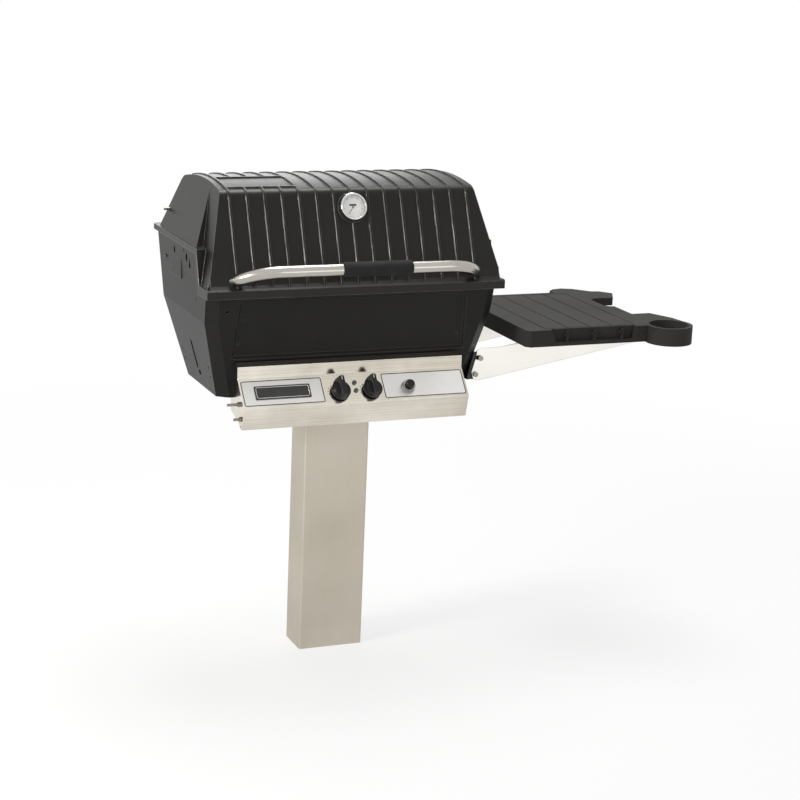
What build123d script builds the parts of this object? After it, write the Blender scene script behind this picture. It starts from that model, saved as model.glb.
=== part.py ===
"""Post-mounted gas grill: cast firebox and ribbed lid, gas console, folding shelf and in-ground post."""
import os
from math import acos, atan2, cos, degrees, hypot, radians, sin

from build123d import *

# Frame: X to the right, Y to the back, Z up, millimetres, origin at ground level on the post's axis.
# Side-view sizes are depths back from the lid's front lip and heights above the underside of that lip.
LIP_Y = -145.0
RIM_Z = 845.0

# Fits
RUNNING = 0.05
BOLT_PLAY = 0.3
BODY_GAP = 0.5

# Post and saddle
POST_WIDTH = 152.0
POST_DEPTH = 93.0
POST_WALL = 2.0
POST_CORNER = 6.0
POST_TOP = 545.0
POST_LENGTH = 1219.0
GAS_SLOT_WIDTH = 32.0
GAS_SLOT_LENGTH = 70.0
GAS_SLOT_BELOW = 160.0
SADDLE_PLATE = 4.0
SADDLE_SLEEVE = 90.0
SADDLE_FLANGE = 44.0
SADDLE_BOLT_SPREAD = 60.0
SADDLE_BOLT = 8.0
CROSS_BOLT_BELOW = 12.0

# Firebox casting
SIDE_TOP = 82.0
PILLAR_TOP = 86.0
PILLAR_FOOT = 60.0
PARTING_GAP = 1.0
CREASE = -60.0
FLOOR = -231.0
HALF_TOP = 338.0
HALF_CREASE = 333.0
HALF_FLOOR = 292.0
FRONT_RIM = 10.0
FRONT_FLOOR = 62.0
REAR_TOP = 397.0
REAR_CREASE = 363.0
REAR_FLOOR = 298.0
FRONT_CORNER = (24.0, 18.0)
REAR_CORNER = (12.0, 12.0)
WALL = 6.0
RECESS_DEPTH = 6.0
RECESS_TOP = -8.0
RECESS_FOOT = -142.0
RECESS_HALF_TOP = 262.0
RECESS_HALF_FOOT = 272.0
RECESS_DRAFT = 40.0
SEAT_WIDTH = 14.0
SEAT_THICK = 6.0
GRID_SEAT = -22.0
BRIQUETTE_SEAT = -95.0
PAD_DEPTHS = (204.0, 283.0)
PAD_HEIGHTS = (5.0, 50.0)
PAD_PROUD = 2.5

# Lid casting
RIM_WIDTH = 686.0
LIP_OUT = 8.0
LIP_HEIGHT = 20.0
FLANGE = 12.0
REAR_FLANGE = 412.0
PILLAR_BAND = 14.0
LID_WALL = 5.0
FOOT_DEPTH = 8.0
FOOT_HEIGHT = 46.0
BROW_DEPTH = 78.0
BROW_HEIGHT = 215.0
BROW_ROUND = 24.0
CROWN_DEPTH = 197.0
CROWN_HEIGHT = 227.0
HEEL_DEPTH = 341.0
HEEL_HEIGHT = 210.5
HEEL_ROUND = 20.0
TAIL_DEPTH = 374.0
LID_HALF_FOOT = 338.0
LID_HALF_BROW = 293.0
CHEEK_HALF_FOOT = 337.0
CHEEK_HALF_TOP = 296.0
CHEEK_TOP = 205.0
CHEEK_FRONT_FOOT = 91.0
CHEEK_FRONT_TOP = 143.0
LID_CORNER = (12.0, 5.0)
RIB_COUNT = 15
RIB_PITCH = 39.1
RIB_WIDTH = 4.4
RIB_HEIGHT = 3.0
PANEL_RIBS = (0, 4)
PANEL_DEPTHS = (97.0, 183.0)

# Lid hinge
HINGE_DEPTH = 424.0
HINGE_HEIGHT = 82.0
HINGE_X = 230.0
HINGE_ROUND = 9.0
HINGE_PIN = 8.0
LID_LUG = 24.0
BOX_LUG = 16.0
PIN_HEAD = 3.0

# Lid handle
BAR_DEPTH = -45.0
BAR_HEIGHT = 63.0
BAR_DROP = 27.0
BAR_SPAN = 562.0
BAR_BEND = 100.0
BAR_REACH = 68.0
TUBE = 26.0
TUBE_WALL = 1.6
GRIP = 32.0
GRIP_LENGTH = 160.0
GRIP_OFFSET = 22.0
HANDLE_SCREW = 8.0

# Lid thermometer
GAUGE_HEIGHT = 176.0
GAUGE_SEAT = 66.0
GAUGE_SEAT_PROUD = 5.0
GAUGE = 60.0
GAUGE_DEEP = 13.0
GAUGE_RIM = 4.0
GAUGE_STEM = 8.0
GAUGE_STEM_LENGTH = 62.0
NEEDLE_REST = 215.0
NEEDLE_LENGTH = 19.0

# Control console, outer line of its bent sheet from the top lip down
CONSOLE_WIDTH = 524.0
CONSOLE_SHEET = 1.5
LIP_BACK = (40.0, -148.5)
STRIP_TOP = (25.6, -155.7)
FOLD = (25.2, -181.0)
CHIN = (-22.8, -236.0)
HEM = (-10.1, -285.4)
HEM_RETURN = 16.0
END_BACK = 71.0
END_FOOT = -259.0
STUD = 6.0
STUD_PLACES = ((9.0, -233.0, 28.0), (-6.0, -262.0, 18.0))
BADGE_SIZE = (126.0, 32.0)
BADGE_INSET = 94.5
BADGE_DOWN = 37.0
BADGE_THICK = 2.0

# Knobs, valves and gas line, placed along the inclined face
KNOB_X = 37.0
KNOB_DOWN = 44.0
KNOB_BASE = 43.0
KNOB_STAND = 4.0
KNOB_HEIGHT = 24.0
KNOB_GRIP = 19.0
PUSH_TRAVEL = 3.0
STEM = 8.0
VALVE_SIZE = (24.0, 28.0)
VALVE_NOSE = 14.0
VALVE_LENGTH = 38.0
ORIFICE = 10.0
ORIFICE_LENGTH = 12.0
MANIFOLD = 19.0
MANIFOLD_DROP = 26.0
MANIFOLD_HALF = 96.0
INLET = 16.0
INLET_BORE = 10.0
INLET_LENGTH = 22.0
INLET_REACH = 30.0
INLET_ELBOW = 12.0
FACE_SCREWS = (25.0, 44.0)
IGNITER_X = 122.0
IGNITER_DOWN = 44.0
IGNITER_COLLAR = 31.0
IGNITER_COLLAR_HEIGHT = 13.0
IGNITER_BUTTON = 19.0
IGNITER_BUTTON_PROUD = 10.0
IGNITER_TRAVEL = 6.0
IGNITER_BARREL = 24.0
IGNITER_BARREL_LENGTH = 48.0

# Burner, venturi tubes and what lies over them
BURNER_DEPTH = 180.0
BURNER_SEAT = -172.0
BURNER_TALL = 22.0
BURNER_LENGTH = 460.0
BURNER_END = 120.0
BURNER_WAIST = 46.0
BURNER_SKIN = 2.5
BURNER_POST_X = 170.0
BURNER_POST = 24.0
VENTURI = 24.0
VENTURI_WALL = 1.2
VENTURI_BEND = 30.0
VENTURI_RISE = 112.0
ROD = 7.0
GRID_PITCH = 19.0
GRID_PLAY = 3.0
GRATE_ROD = 6.0
GRATE_PITCH = 22.0
BRIQUETTE = 46.0
BRIQUETTE_TALL = 30.0
BRIQUETTE_PITCH = 54.0
BRIQUETTE_GRID = (10, 4)
ELECTRODE = 8.0
ELECTRODE_AT = (142.0, 120.0)

# Warming rack on its parallel links
RACK_ARM = (-74.0, 53.0)
RACK_SPREAD = (-99.0, -48.0)
RACK_HALF = 296.0
RACK_PLATE = 2.5
RACK_PIN = 6.0
RACK_PIN_SHOWS = 13.0
RACK_KEY = (20.0, 4.0)
RACK_ROD = 6.0
RACK_RODS = 8
RACK_REACH = 165.0
RACK_BAR = 11.0

# Folding shelf
SHELF_LEFT = 410.0
SHELF_RIGHT = 741.0
SHELF_FRONT = 0.0
SHELF_REAR = 388.0
SHELF_TOP = -102.4
SHELF_TALL = 38.0
SHELF_SKIN = 5.0
GROOVE_FIRST = 461.7
GROOVE_PITCH = 57.0
GROOVE_COUNT = 5
GROOVE_WIDTH = 2.4
GROOVE_DEEP = 1.5
GROOVE_ENDS = (17.0, 374.0)
CUP_AT = (772.0, 0.0)
CUP = 92.0
CUP_WALL = 8.5
POCKET_TOP = (471.0, 687.0)
POCKET_FOOT = (484.0, 678.0)
POCKET_TALL = 29.0
POCKET_DEEP = 9.0
HOOKS = (507.0, 577.0, 647.0)
BITE_DEPTHS = (210.0, 302.0)
BITE_LEFT = 720.0

# Shelf arms, bracket and their bolts
ARM_SHEET = 2.5
ARM_DEPTHS = (60.0, 335.0)
PIVOT = (313.0, -210.0)
STOP = (323.5, -173.0)
ARM_BOLT = 8.0
ARM_SCREW = 4.0
SCREW_BITE = 3.0
BRACKET_SHEET = 3.0
BRACKET_HOLES = (91.0, 280.0)
BRACKET_HEIGHTS = (-169.0, -191.0)
BRACKET_BOLT = 6.0


def side(depth, height):
    """Side-view point (y, z) from a depth behind the lip and a height above the rim."""
    return (LIP_Y + depth, RIM_Z + height)


def outline(*points):
    return make_face(Polyline(*points, close=True))


def across(face, half_width):
    """Solid from a side-view face, reaching half_width to both sides of the middle."""
    return extrude(Plane.YZ * face, amount=half_width, both=True)


def prism(points, x_from, x_to):
    """Solid from side-view points, between two places along X."""
    return extrude(Plane.YZ.offset(x_from) * outline(*points), amount=x_to - x_from)


def block(x_from, x_to, depth_from, depth_to, height_from, height_to):
    y, z = side((depth_from + depth_to) / 2, (height_from + height_to) / 2)
    sizes = (abs(x_to - x_from), abs(depth_to - depth_from), abs(height_to - height_from))
    return Pos((x_from + x_to) / 2, y, z) * Box(*sizes)


def bar_x(depth, height, x_from, x_to, diameter):
    """Round bar along X through a side-view point."""
    y, z = side(depth, height)
    return Plane((x_from, y, z), z_dir=(1, 0, 0)) * extrude(Circle(diameter / 2), amount=x_to - x_from)


def bar_y(x, height, depth_from, depth_to, diameter):
    """Round bar along Y at a place in the front view."""
    start = Plane((x, LIP_Y + depth_from, RIM_Z + height), z_dir=(0, 1, 0))
    return start * extrude(Circle(diameter / 2), amount=depth_to - depth_from)


def bar_z(x, depth, height_from, height_to, diameter):
    """Round bar along Z."""
    start = Pos(x, LIP_Y + depth, RIM_Z + height_from)
    return start * extrude(Circle(diameter / 2), amount=height_to - height_from)


def bolt(place, shank, length, head, head_tall):
    """Hexagon bolt: the head stands on the plane, the shank goes down into it."""
    cap = extrude(RegularPolygon(head / 2, 6), amount=head_tall)
    return place * (cap + extrude(Circle(shank / 2), amount=-length))


def group(solids):
    return Compound(children=[part for part in solids])


def along(height, *levels):
    """Value at a height, on straight lines through (height, value) pairs from high to low."""
    for (high, value_high), (low, value_low) in zip(levels, levels[1:]):
        if height >= low or (low, value_low) == levels[-1]:
            return value_low + (value_high - value_low) * (height - low) / (high - low)


def wall_half(height):
    return along(height, (SIDE_TOP, HALF_TOP), (CREASE, HALF_CREASE), (FLOOR, HALF_FLOOR))


def front_wall(height):
    return along(height, (0.0, FRONT_RIM), (FLOOR, FRONT_FLOOR))


def rear_wall(height):
    return along(height, (SIDE_TOP, REAR_TOP), (CREASE, REAR_CREASE), (FLOOR, REAR_FLOOR))


# Firebox

FRONT_LEAN = (FRONT_FLOOR - FRONT_RIM) / -FLOOR
FRONT_WALL = WALL + RECESS_DEPTH


def hull_ring(height, inset, front_inset):
    """Plan outline of the firebox at one height, with its corners cut."""
    half = wall_half(height) - inset
    front = LIP_Y + front_wall(height) + front_inset
    rear = LIP_Y + rear_wall(height) - inset
    (cut_x, cut_y), (tail_x, tail_y) = FRONT_CORNER, REAR_CORNER
    points = [
        (cut_x - half, front), (half - cut_x, front), (half, front + cut_y), (half, rear - tail_y),
        (half - tail_x, rear), (tail_x - half, rear), (-half, rear - tail_y), (-half, front + cut_y),
    ]
    return Plane.XY.offset(RIM_Z + height) * outline(*points)


def hull(inset, front_inset, low, high):
    """Hull-shaped solid between two heights, with a crease where the walls turn in."""
    heights = [low, high]
    if low < CREASE < high:
        heights.insert(1, CREASE)
    return loft([hull_ring(height, inset, front_inset) for height in heights], ruled=True)


def seat(height):
    """Ledge round the inside of the firebox whose top lies at this height."""
    low = height - SEAT_THICK
    outer = hull(WALL / 2, FRONT_WALL / 2, low, height)
    return outer - hull(WALL + SEAT_WIDTH, FRONT_WALL + SEAT_WIDTH, low - 1, height + 1)


FRONT_PLANE = Plane(
    origin=(0, *side(FRONT_RIM, 0)), x_dir=(1, 0, 0),
    z_dir=(0, -1, -FRONT_LEAN),
)
WALL_LEAN = (HALF_CREASE - HALF_FLOOR) / (CREASE - FLOOR)


def wall_plane(depth, height, right):
    """Plane on the tapered wall: local Z points out of the firebox, local X to the back."""
    x = wall_half(height)
    y, z = side(depth, height)
    if right:
        return Plane(origin=(x, y, z), x_dir=(0, 1, 0), z_dir=(1, 0, -WALL_LEAN))
    return Plane(origin=(-x, y, z), x_dir=(0, 1, 0), z_dir=(-1, 0, -WALL_LEAN))


def bracket_places(right):
    return [wall_plane(depth, height, right) for depth in BRACKET_HOLES for height in BRACKET_HEIGHTS]


def parting_above(drop):
    """Everything above the parting line, lowered by drop."""
    far = REAR_FLANGE * 2
    points = [
        side(-far, -drop), side(PILLAR_FOOT, -drop), side(PILLAR_TOP, SIDE_TOP - drop),
        side(far, SIDE_TOP - drop), side(far, far), side(-far, far),
    ]
    return across(outline(*points), RIM_WIDTH)


def box_lugs():
    """Hinge ears cast on the rear wall, a pair to each side of a lid ear."""
    low, high = HINGE_HEIGHT - 50, HINGE_HEIGHT - 8
    web = [
        side(rear_wall(low) - WALL / 2, low), side(HINGE_DEPTH, HINGE_HEIGHT - HINGE_ROUND),
        side(HINGE_DEPTH, HINGE_HEIGHT), side(HINGE_DEPTH - HINGE_ROUND, HINGE_HEIGHT),
        side(rear_wall(high) - WALL / 2, high),
    ]
    lugs = []
    for hinge in (-HINGE_X, HINGE_X):
        for way in (-1, 1):
            near = hinge + way * (LID_LUG / 2 + BODY_GAP)
            far = near + way * BOX_LUG
            x_from, x_to = min(near, far), max(near, far)
            lugs.append(bar_x(HINGE_DEPTH, HINGE_HEIGHT, x_from, x_to, 2 * HINGE_ROUND))
            lugs.append(prism(web, x_from, x_to))
    return lugs


def side_openings():
    """Slots, keyholes and holes cast through both end walls for fittings that hang on them."""
    def through(depth, height, tall, wide):
        y, z = side(depth, height)
        return Plane.YZ * Pos(y, z) * RectangleRounded(wide, tall, min(tall, wide) * 0.45)
    faces = [
        through(257, 60, 16, 12), through(186, 72, 8, 8), through(165, 59, 20, 12),
        through(142, 46, 13, 13), through(142, 54, 12, 6), through(173, -199, 12, 16),
        through(97, -19, 6, 6),
    ]
    slot = Plane.YZ * Pos(*side(187, -160)) * Rot(0, 0, 80) * SlotOverall(64, 13)
    cuts = [extrude(face, amount=RIM_WIDTH, both=True) for face in faces + [slot]]
    return cuts


def front_dots():
    """Small tapped holes on the front face."""
    places = [(-290, -32), (-252, -55), (-257, -108), (252, -108)]
    depth = FRONT_WALL * 0.6
    return [
        FRONT_PLANE * Pos(x, height * hypot(1, FRONT_LEAN), 0) * extrude(Circle(3), amount=-depth)
        for x, height in places
    ]


def console_bolt_places():
    """Planes on the front wall where the console's end plates are bolted."""
    inner = CONSOLE_WIDTH / 2 - CONSOLE_SHEET - 11
    rows = (STRIP_TOP[1] - 16, CHIN[1] + 18)
    return [FRONT_PLANE * Pos(way * inner, row * hypot(1, FRONT_LEAN), 0) for way in (-1, 1) for row in rows]


def saddle_bolt_places():
    x = POST_WIDTH / 2 + SADDLE_FLANGE / 2
    return [(way * x, -LIP_Y + row * SADDLE_BOLT_SPREAD / 2) for way in (-1, 1) for row in (-1, 1)]


def make_firebox():
    body = hull(0, 0, FLOOR, SIDE_TOP) - hull(WALL, FRONT_WALL, FLOOR + WALL, SIDE_TOP + WALL)
    body = body + seat(GRID_SEAT) + seat(BRIQUETTE_SEAT)
    body = body - parting_above(PARTING_GAP)
    slope = hypot(1, FRONT_LEAN)
    recess = outline(
        (-RECESS_HALF_TOP, RECESS_TOP * slope), (RECESS_HALF_TOP, RECESS_TOP * slope),
        (RECESS_HALF_FOOT, RECESS_FOOT * slope), (-RECESS_HALF_FOOT, RECESS_FOOT * slope),
    )
    body = body - extrude(FRONT_PLANE * recess, amount=-RECESS_DEPTH, taper=RECESS_DRAFT)
    for way in (-1, 1):
        body = body + bar_z(way * BURNER_POST_X, BURNER_DEPTH, FLOOR + WALL / 2, BURNER_SEAT, BURNER_POST)
        body = body - bar_z(way * KNOB_X, VENTURI_RISE, FLOOR - 1, FLOOR + WALL + 1, VENTURI + 6)
    pad_x = (-wall_half(0) - PAD_PROUD, -wall_half(0) + WALL / 2)
    body = body + block(*pad_x, *PAD_DEPTHS, *PAD_HEIGHTS)
    for lug in box_lugs():
        body = body + lug
    for cut in side_openings() + front_dots():
        body = body - cut
    for hinge in (-HINGE_X, HINGE_X):
        reach = LID_LUG / 2 + BOX_LUG + 10
        body = body - bar_x(HINGE_DEPTH, HINGE_HEIGHT, hinge - reach, hinge + reach, HINGE_PIN + 2 * RUNNING)
    for x, depth in saddle_bolt_places():
        body = body - bar_z(x, depth, FLOOR - 1, FLOOR + WALL + 1, SADDLE_BOLT + 2 * BOLT_PLAY)
    body = body - bar_z(*ELECTRODE_AT, FLOOR - 1, FLOOR + WALL + 1, ELECTRODE + 2 * BOLT_PLAY)
    hole = extrude(Circle(BRACKET_BOLT / 2 + BOLT_PLAY), amount=2 * WALL, both=True)
    for place in bracket_places(True) + bracket_places(False):
        body = body - place * hole
    for place in console_bolt_places():
        body = body - place * extrude(Circle(STUD / 2 + BOLT_PLAY), amount=-FRONT_WALL * 0.8)
    for way in (-1, 1):
        body = body - rack_link_bore(way, RACK_PIN + 2 * RUNNING)
    return body


# Lid

LID_LEAN = (BROW_DEPTH - FOOT_DEPTH) / (BROW_HEIGHT - FOOT_HEIGHT)
LID_ANGLE = degrees(atan2(LID_LEAN, 1))
REAR_LEAN = (TAIL_DEPTH - HEEL_DEPTH) / (HEEL_HEIGHT - SIDE_TOP - FLANGE)
HALF_RIM = RIM_WIDTH / 2


def dome(inset, floor, half_width):
    """Crowned side profile of the lid, drawn in by inset, carried across the lid's width."""
    shift = inset * hypot(1, LID_LEAN)
    brow = side(BROW_DEPTH + shift - LID_LEAN * inset, BROW_HEIGHT - inset)
    crown = side(CROWN_DEPTH, CROWN_HEIGHT - inset)
    heel_depth = HEEL_DEPTH + (REAR_LEAN - hypot(1, REAR_LEAN)) * inset
    heel = side(heel_depth, HEEL_HEIGHT - inset)
    tail = side(heel_depth + REAR_LEAN * (HEEL_HEIGHT - inset - floor), floor)
    foot = side(FOOT_DEPTH + shift, FOOT_HEIGHT)
    toe = side(FOOT_DEPTH + shift, floor)
    face = make_face([
        Polyline(tail, toe, foot, brow), ThreePointArc(brow, crown, heel), Line(heel, tail),
    ])
    brow_corner = face.vertices().sort_by_distance((*brow, 0))[0]
    face = fillet(brow_corner, BROW_ROUND - inset)
    heel_corner = face.vertices().sort_by_distance((*heel, 0))[0]
    face = fillet(heel_corner, HEEL_ROUND - inset)
    return across(face, half_width)


def taper(half_low, low, half_high, high, inset):
    """Wedge seen from the front, wide below and narrow above, through the whole depth."""
    lean = (half_low - half_high) / (high - low)
    draw = inset * hypot(1, lean)
    floor, roof = -3 * LIP_HEIGHT, CROWN_HEIGHT + LIP_HEIGHT
    half_floor = half_low + lean * (low - floor) - draw
    half_roof = half_low + lean * (low - roof) - draw
    low_z, high_z = RIM_Z + floor, RIM_Z + roof
    face = outline((-half_floor, low_z), (half_floor, low_z), (half_roof, high_z), (-half_roof, high_z))
    return extrude(Plane.XZ * face, amount=2 * REAR_FLANGE, both=True)


def cheeks(inset):
    """The flared end panels, which start behind a leaning line."""
    lean = (CHEEK_FRONT_TOP - CHEEK_FRONT_FOOT) / (CHEEK_TOP - SIDE_TOP)
    floor, roof = SIDE_TOP - 2 * inset, CROWN_HEIGHT + LIP_HEIGHT
    behind = outline(
        side(CHEEK_FRONT_FOOT + inset + lean * (floor - SIDE_TOP), floor),
        side(CHEEK_FRONT_FOOT + inset + lean * (roof - SIDE_TOP), roof),
        side(2 * REAR_FLANGE, roof), side(2 * REAR_FLANGE, floor),
    )
    wedge = taper(CHEEK_HALF_FOOT, SIDE_TOP + FLANGE, CHEEK_HALF_TOP, CHEEK_TOP, inset)
    return wedge & across(behind, RIM_WIDTH)


def lid_body(inset, floor):
    """Dome cut to its leaning ends: the front part narrower, the end panels flared."""
    shape = dome(inset, floor, RIM_WIDTH)
    front = shape & taper(LID_HALF_FOOT, LIP_HEIGHT, LID_HALF_BROW, BROW_HEIGHT, inset)
    return front + (shape & cheeks(inset))


def lid_flange():
    """Rim band: along the front lip, up the two pillars and along the sides and the back."""
    lip = outline(
        side(-LIP_OUT, 0), side(-LIP_OUT, LIP_HEIGHT - 3), side(-LIP_OUT + 4, LIP_HEIGHT),
        side(PILLAR_FOOT, LIP_HEIGHT), side(PILLAR_FOOT, 0),
    )
    slope = (PILLAR_TOP - PILLAR_FOOT) / SIDE_TOP
    pillar = outline(
        side(PILLAR_FOOT, 0), side(PILLAR_TOP, SIDE_TOP),
        side(PILLAR_TOP + slope * FLANGE, SIDE_TOP + FLANGE),
        side(PILLAR_TOP + slope * FLANGE - PILLAR_BAND, SIDE_TOP + FLANGE),
        side(PILLAR_FOOT - PILLAR_BAND, 0),
    )
    rail = block(-HALF_RIM, HALF_RIM, PILLAR_TOP, REAR_FLANGE, SIDE_TOP, SIDE_TOP + FLANGE)
    rail = fillet(rail.edges().filter_by(Axis.Z).group_by(Axis.Y)[-1], FLANGE)
    band = across(lip, HALF_RIM) + across(pillar, HALF_RIM) + rail
    flare = outline(
        side(-LIP_OUT + 4, LIP_HEIGHT), side(FOOT_DEPTH - 5, LIP_HEIGHT + 6), side(FOOT_DEPTH, FOOT_HEIGHT),
        side(FOOT_DEPTH + LID_WALL, FOOT_HEIGHT), side(FOOT_DEPTH + LID_WALL, LIP_HEIGHT),
    )
    return band + across(flare, LID_HALF_FOOT - 5)


def rib_x(index):
    return (index - (RIB_COUNT - 1) / 2) * RIB_PITCH


def lid_ribs():
    """Raised ribs over the front and the crown, with a bare framed panel at the left of the crown."""
    half = RIB_WIDTH / 2
    skin = dome(-RIB_HEIGHT, LIP_HEIGHT, half) - dome(1, 0, 2 * half)
    rib = skin - block(-RIB_WIDTH, RIB_WIDTH, HEEL_DEPTH, 2 * REAR_FLANGE, 0, 2 * CROWN_HEIGHT)
    toe = outline(
        side(-LIP_OUT + 5, LIP_HEIGHT - 1), side(FOOT_DEPTH - RIB_HEIGHT, FOOT_HEIGHT),
        side(FOOT_DEPTH + 1, FOOT_HEIGHT), side(FOOT_DEPTH + 1, LIP_HEIGHT - 1),
    )
    rib = rib + across(toe, half)
    first, last = PANEL_RIBS
    parted = rib - block(-RIB_WIDTH, RIB_WIDTH, *PANEL_DEPTHS, BROW_HEIGHT - 15, 2 * CROWN_HEIGHT)
    ribs = []
    for index in range(RIB_COUNT):
        ribs.append(Pos(rib_x(index), 0, 0) * (parted if first < index < last else rib))
    wide = (rib_x(last) - rib_x(first)) / 2
    frame_skin = dome(-RIB_HEIGHT, LIP_HEIGHT, wide) - dome(1, 0, 2 * wide)
    for depth in PANEL_DEPTHS:
        strip = block(-wide, wide, depth - half, depth + half, BROW_HEIGHT - 15, 2 * CROWN_HEIGHT)
        ribs.append(Pos((rib_x(first) + rib_x(last)) / 2, 0, 0) * (frame_skin & strip))
    return ribs


GAUGE_PLANE = Plane(
    origin=(0, *side(FOOT_DEPTH + LID_LEAN * (GAUGE_HEIGHT - FOOT_HEIGHT), GAUGE_HEIGHT)),
    x_dir=(1, 0, 0), z_dir=(0, -1, LID_LEAN),
)


def lid_lugs():
    web = [
        side(REAR_FLANGE - FLANGE, SIDE_TOP), side(REAR_FLANGE - FLANGE, SIDE_TOP + FLANGE),
        side(HINGE_DEPTH, HINGE_HEIGHT + HINGE_ROUND), side(HINGE_DEPTH, HINGE_HEIGHT),
    ]
    lugs = []
    for hinge in (-HINGE_X, HINGE_X):
        x_from, x_to = hinge - LID_LUG / 2, hinge + LID_LUG / 2
        lug = bar_x(HINGE_DEPTH, HINGE_HEIGHT, x_from, x_to, 2 * HINGE_ROUND) + prism(web, x_from, x_to)
        lugs.append(lug - bar_x(HINGE_DEPTH, HINGE_HEIGHT, x_from - 1, x_to + 1, HINGE_PIN + 2 * RUNNING))
    return lugs


def handle_end(way):
    """Where the handle's axis meets the lid, as x, depth and height."""
    drop = radians(BAR_DROP)
    return (way * BAR_SPAN / 2, BAR_DEPTH + BAR_REACH * cos(drop), BAR_HEIGHT - BAR_REACH * sin(drop))


def lid_blank():
    """Lid before it is hollowed: what sits on the lid is trimmed to this form."""
    below = across(outline(
        side(PILLAR_FOOT, 0), side(PILLAR_TOP, SIDE_TOP), side(2 * REAR_FLANGE, SIDE_TOP),
        side(2 * REAR_FLANGE, -REAR_FLANGE), side(PILLAR_FOOT, -REAR_FLANGE),
    ), RIM_WIDTH)
    body = lid_body(0, 0) + lid_flange()
    return body - below


def make_lid(blank):
    lid = blank - lid_body(LID_WALL, -LIP_HEIGHT)
    for rib in lid_ribs():
        lid = lid + rib
    lid = lid + GAUGE_PLANE * Pos(0, 0, -LID_WALL / 2) * extrude(
        Circle(GAUGE_SEAT / 2), amount=LID_WALL / 2 + GAUGE_SEAT_PROUD)
    lid = lid - GAUGE_PLANE * extrude(Circle(GAUGE_STEM / 2 + BOLT_PLAY), amount=3 * LID_WALL, both=True)
    for lug in lid_lugs():
        lid = lid + lug
    for way in (-1, 1):
        x, depth, height = handle_end(way)
        lid = lid - bar_y(x, height, depth - TUBE, depth + TUBE, HANDLE_SCREW + 2 * BOLT_PLAY)
        lid = lid - rack_lid_pin(way, RACK_PIN + 2 * RUNNING)
    return lid


def make_hinge_pin(way):
    reach = LID_LUG / 2 + BODY_GAP + BOX_LUG
    x_from, x_to = way * HINGE_X - reach, way * HINGE_X + reach
    pin = bar_x(HINGE_DEPTH, HINGE_HEIGHT, x_from, x_to + 6, HINGE_PIN)
    head = bar_x(HINGE_DEPTH, HINGE_HEIGHT, x_from - PIN_HEAD, x_from, HINGE_PIN + 6)
    groove = bar_x(HINGE_DEPTH, HINGE_HEIGHT, x_to + 0.5, x_to + 2.5, HINGE_PIN + 2)
    core = bar_x(HINGE_DEPTH, HINGE_HEIGHT, x_to, x_to + 3, HINGE_PIN - 2)
    return pin - (groove - core) + head


def make_hinge_clip(way):
    """Snap ring in the groove at the pin's end."""
    x_to = way * HINGE_X + LID_LUG / 2 + BODY_GAP + BOX_LUG
    disc = bar_x(HINGE_DEPTH, HINGE_HEIGHT, x_to + 0.7, x_to + 2.3, HINGE_PIN + 7)
    return disc - bar_x(HINGE_DEPTH, HINGE_HEIGHT, x_to, x_to + 3, HINGE_PIN - 2 + 2 * RUNNING)


# Handle

def handle_path(trim):
    """Bar with an arc at each end, in a plane that drops towards the lid, shortened by trim degrees."""
    drop = radians(BAR_DROP)
    plane = Plane(
        origin=(0, *side(BAR_DEPTH, BAR_HEIGHT)), x_dir=(1, 0, 0), z_dir=(0, sin(drop), cos(drop)),
    )
    turn = degrees(acos(1 - BAR_REACH / BAR_BEND))
    straight = BAR_SPAN / 2 - BAR_BEND * sin(radians(turn))
    left = JernArc(start=(-straight, 0), tangent=(-1, 0), radius=BAR_BEND, arc_size=trim - turn)
    middle = Line((-straight, 0), (straight, 0))
    right = JernArc(start=(straight, 0), tangent=(1, 0), radius=BAR_BEND, arc_size=turn - trim)
    return Wire([plane * left.edge(), plane * middle.edge(), plane * right.edge()])


def tube_along(path, diameter):
    start = Plane(origin=path @ 0, z_dir=path % 0)
    return sweep(start * Circle(diameter / 2), path=path)


def make_handle(blank, lid):
    tube = tube_along(handle_path(0), TUBE) - tube_along(handle_path(14), TUBE - 2 * TUBE_WALL)
    tube = tube - blank - lid
    for way in (-1, 1):
        x, depth, height = handle_end(way)
        tube = tube - bar_y(x, height, depth - 16, depth + TUBE, HANDLE_SCREW + 2 * RUNNING)
    return tube


def make_grip():
    y, z = side(BAR_DEPTH, BAR_HEIGHT)
    sleeve = Cylinder(GRIP / 2, GRIP_LENGTH)
    sleeve = fillet(sleeve.edges(), 3) - Cylinder(TUBE / 2 + RUNNING, GRIP_LENGTH)
    return Pos(GRIP_OFFSET, y, z) * Rot(0, 90, 0) * sleeve


def make_handle_screw(way):
    x, depth, height = handle_end(way)
    seat_depth = FOOT_DEPTH + LID_WALL * hypot(1, LID_LEAN)
    start = Plane((x, LIP_Y + seat_depth, RIM_Z + height), z_dir=(0, 1, 0))
    return bolt(start, HANDLE_SCREW, seat_depth - depth + 14, 2 * HANDLE_SCREW, 5)


# Thermometer, in its plane on the lid's front, standing on the cast seat

GAUGE_BASE = GAUGE_PLANE * Pos(0, 0, GAUGE_SEAT_PROUD)


def make_gauge_case():
    cup = extrude(Circle(GAUGE / 2), amount=GAUGE_DEEP)
    cup = fillet(cup.edges().group_by(Axis.Z)[-1], 2.5)
    bore = Pos(0, 0, 3) * extrude(Circle(GAUGE / 2 - GAUGE_RIM), amount=GAUGE_DEEP)
    return GAUGE_BASE * (cup - bore - extrude(Circle(GAUGE_STEM / 2 + RUNNING), amount=3))


def make_gauge_dial():
    disc = extrude(Circle(GAUGE / 2 - GAUGE_RIM - RUNNING), amount=1)
    return GAUGE_BASE * Pos(0, 0, 3) * (disc - extrude(Circle(2.2), amount=1))


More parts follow.
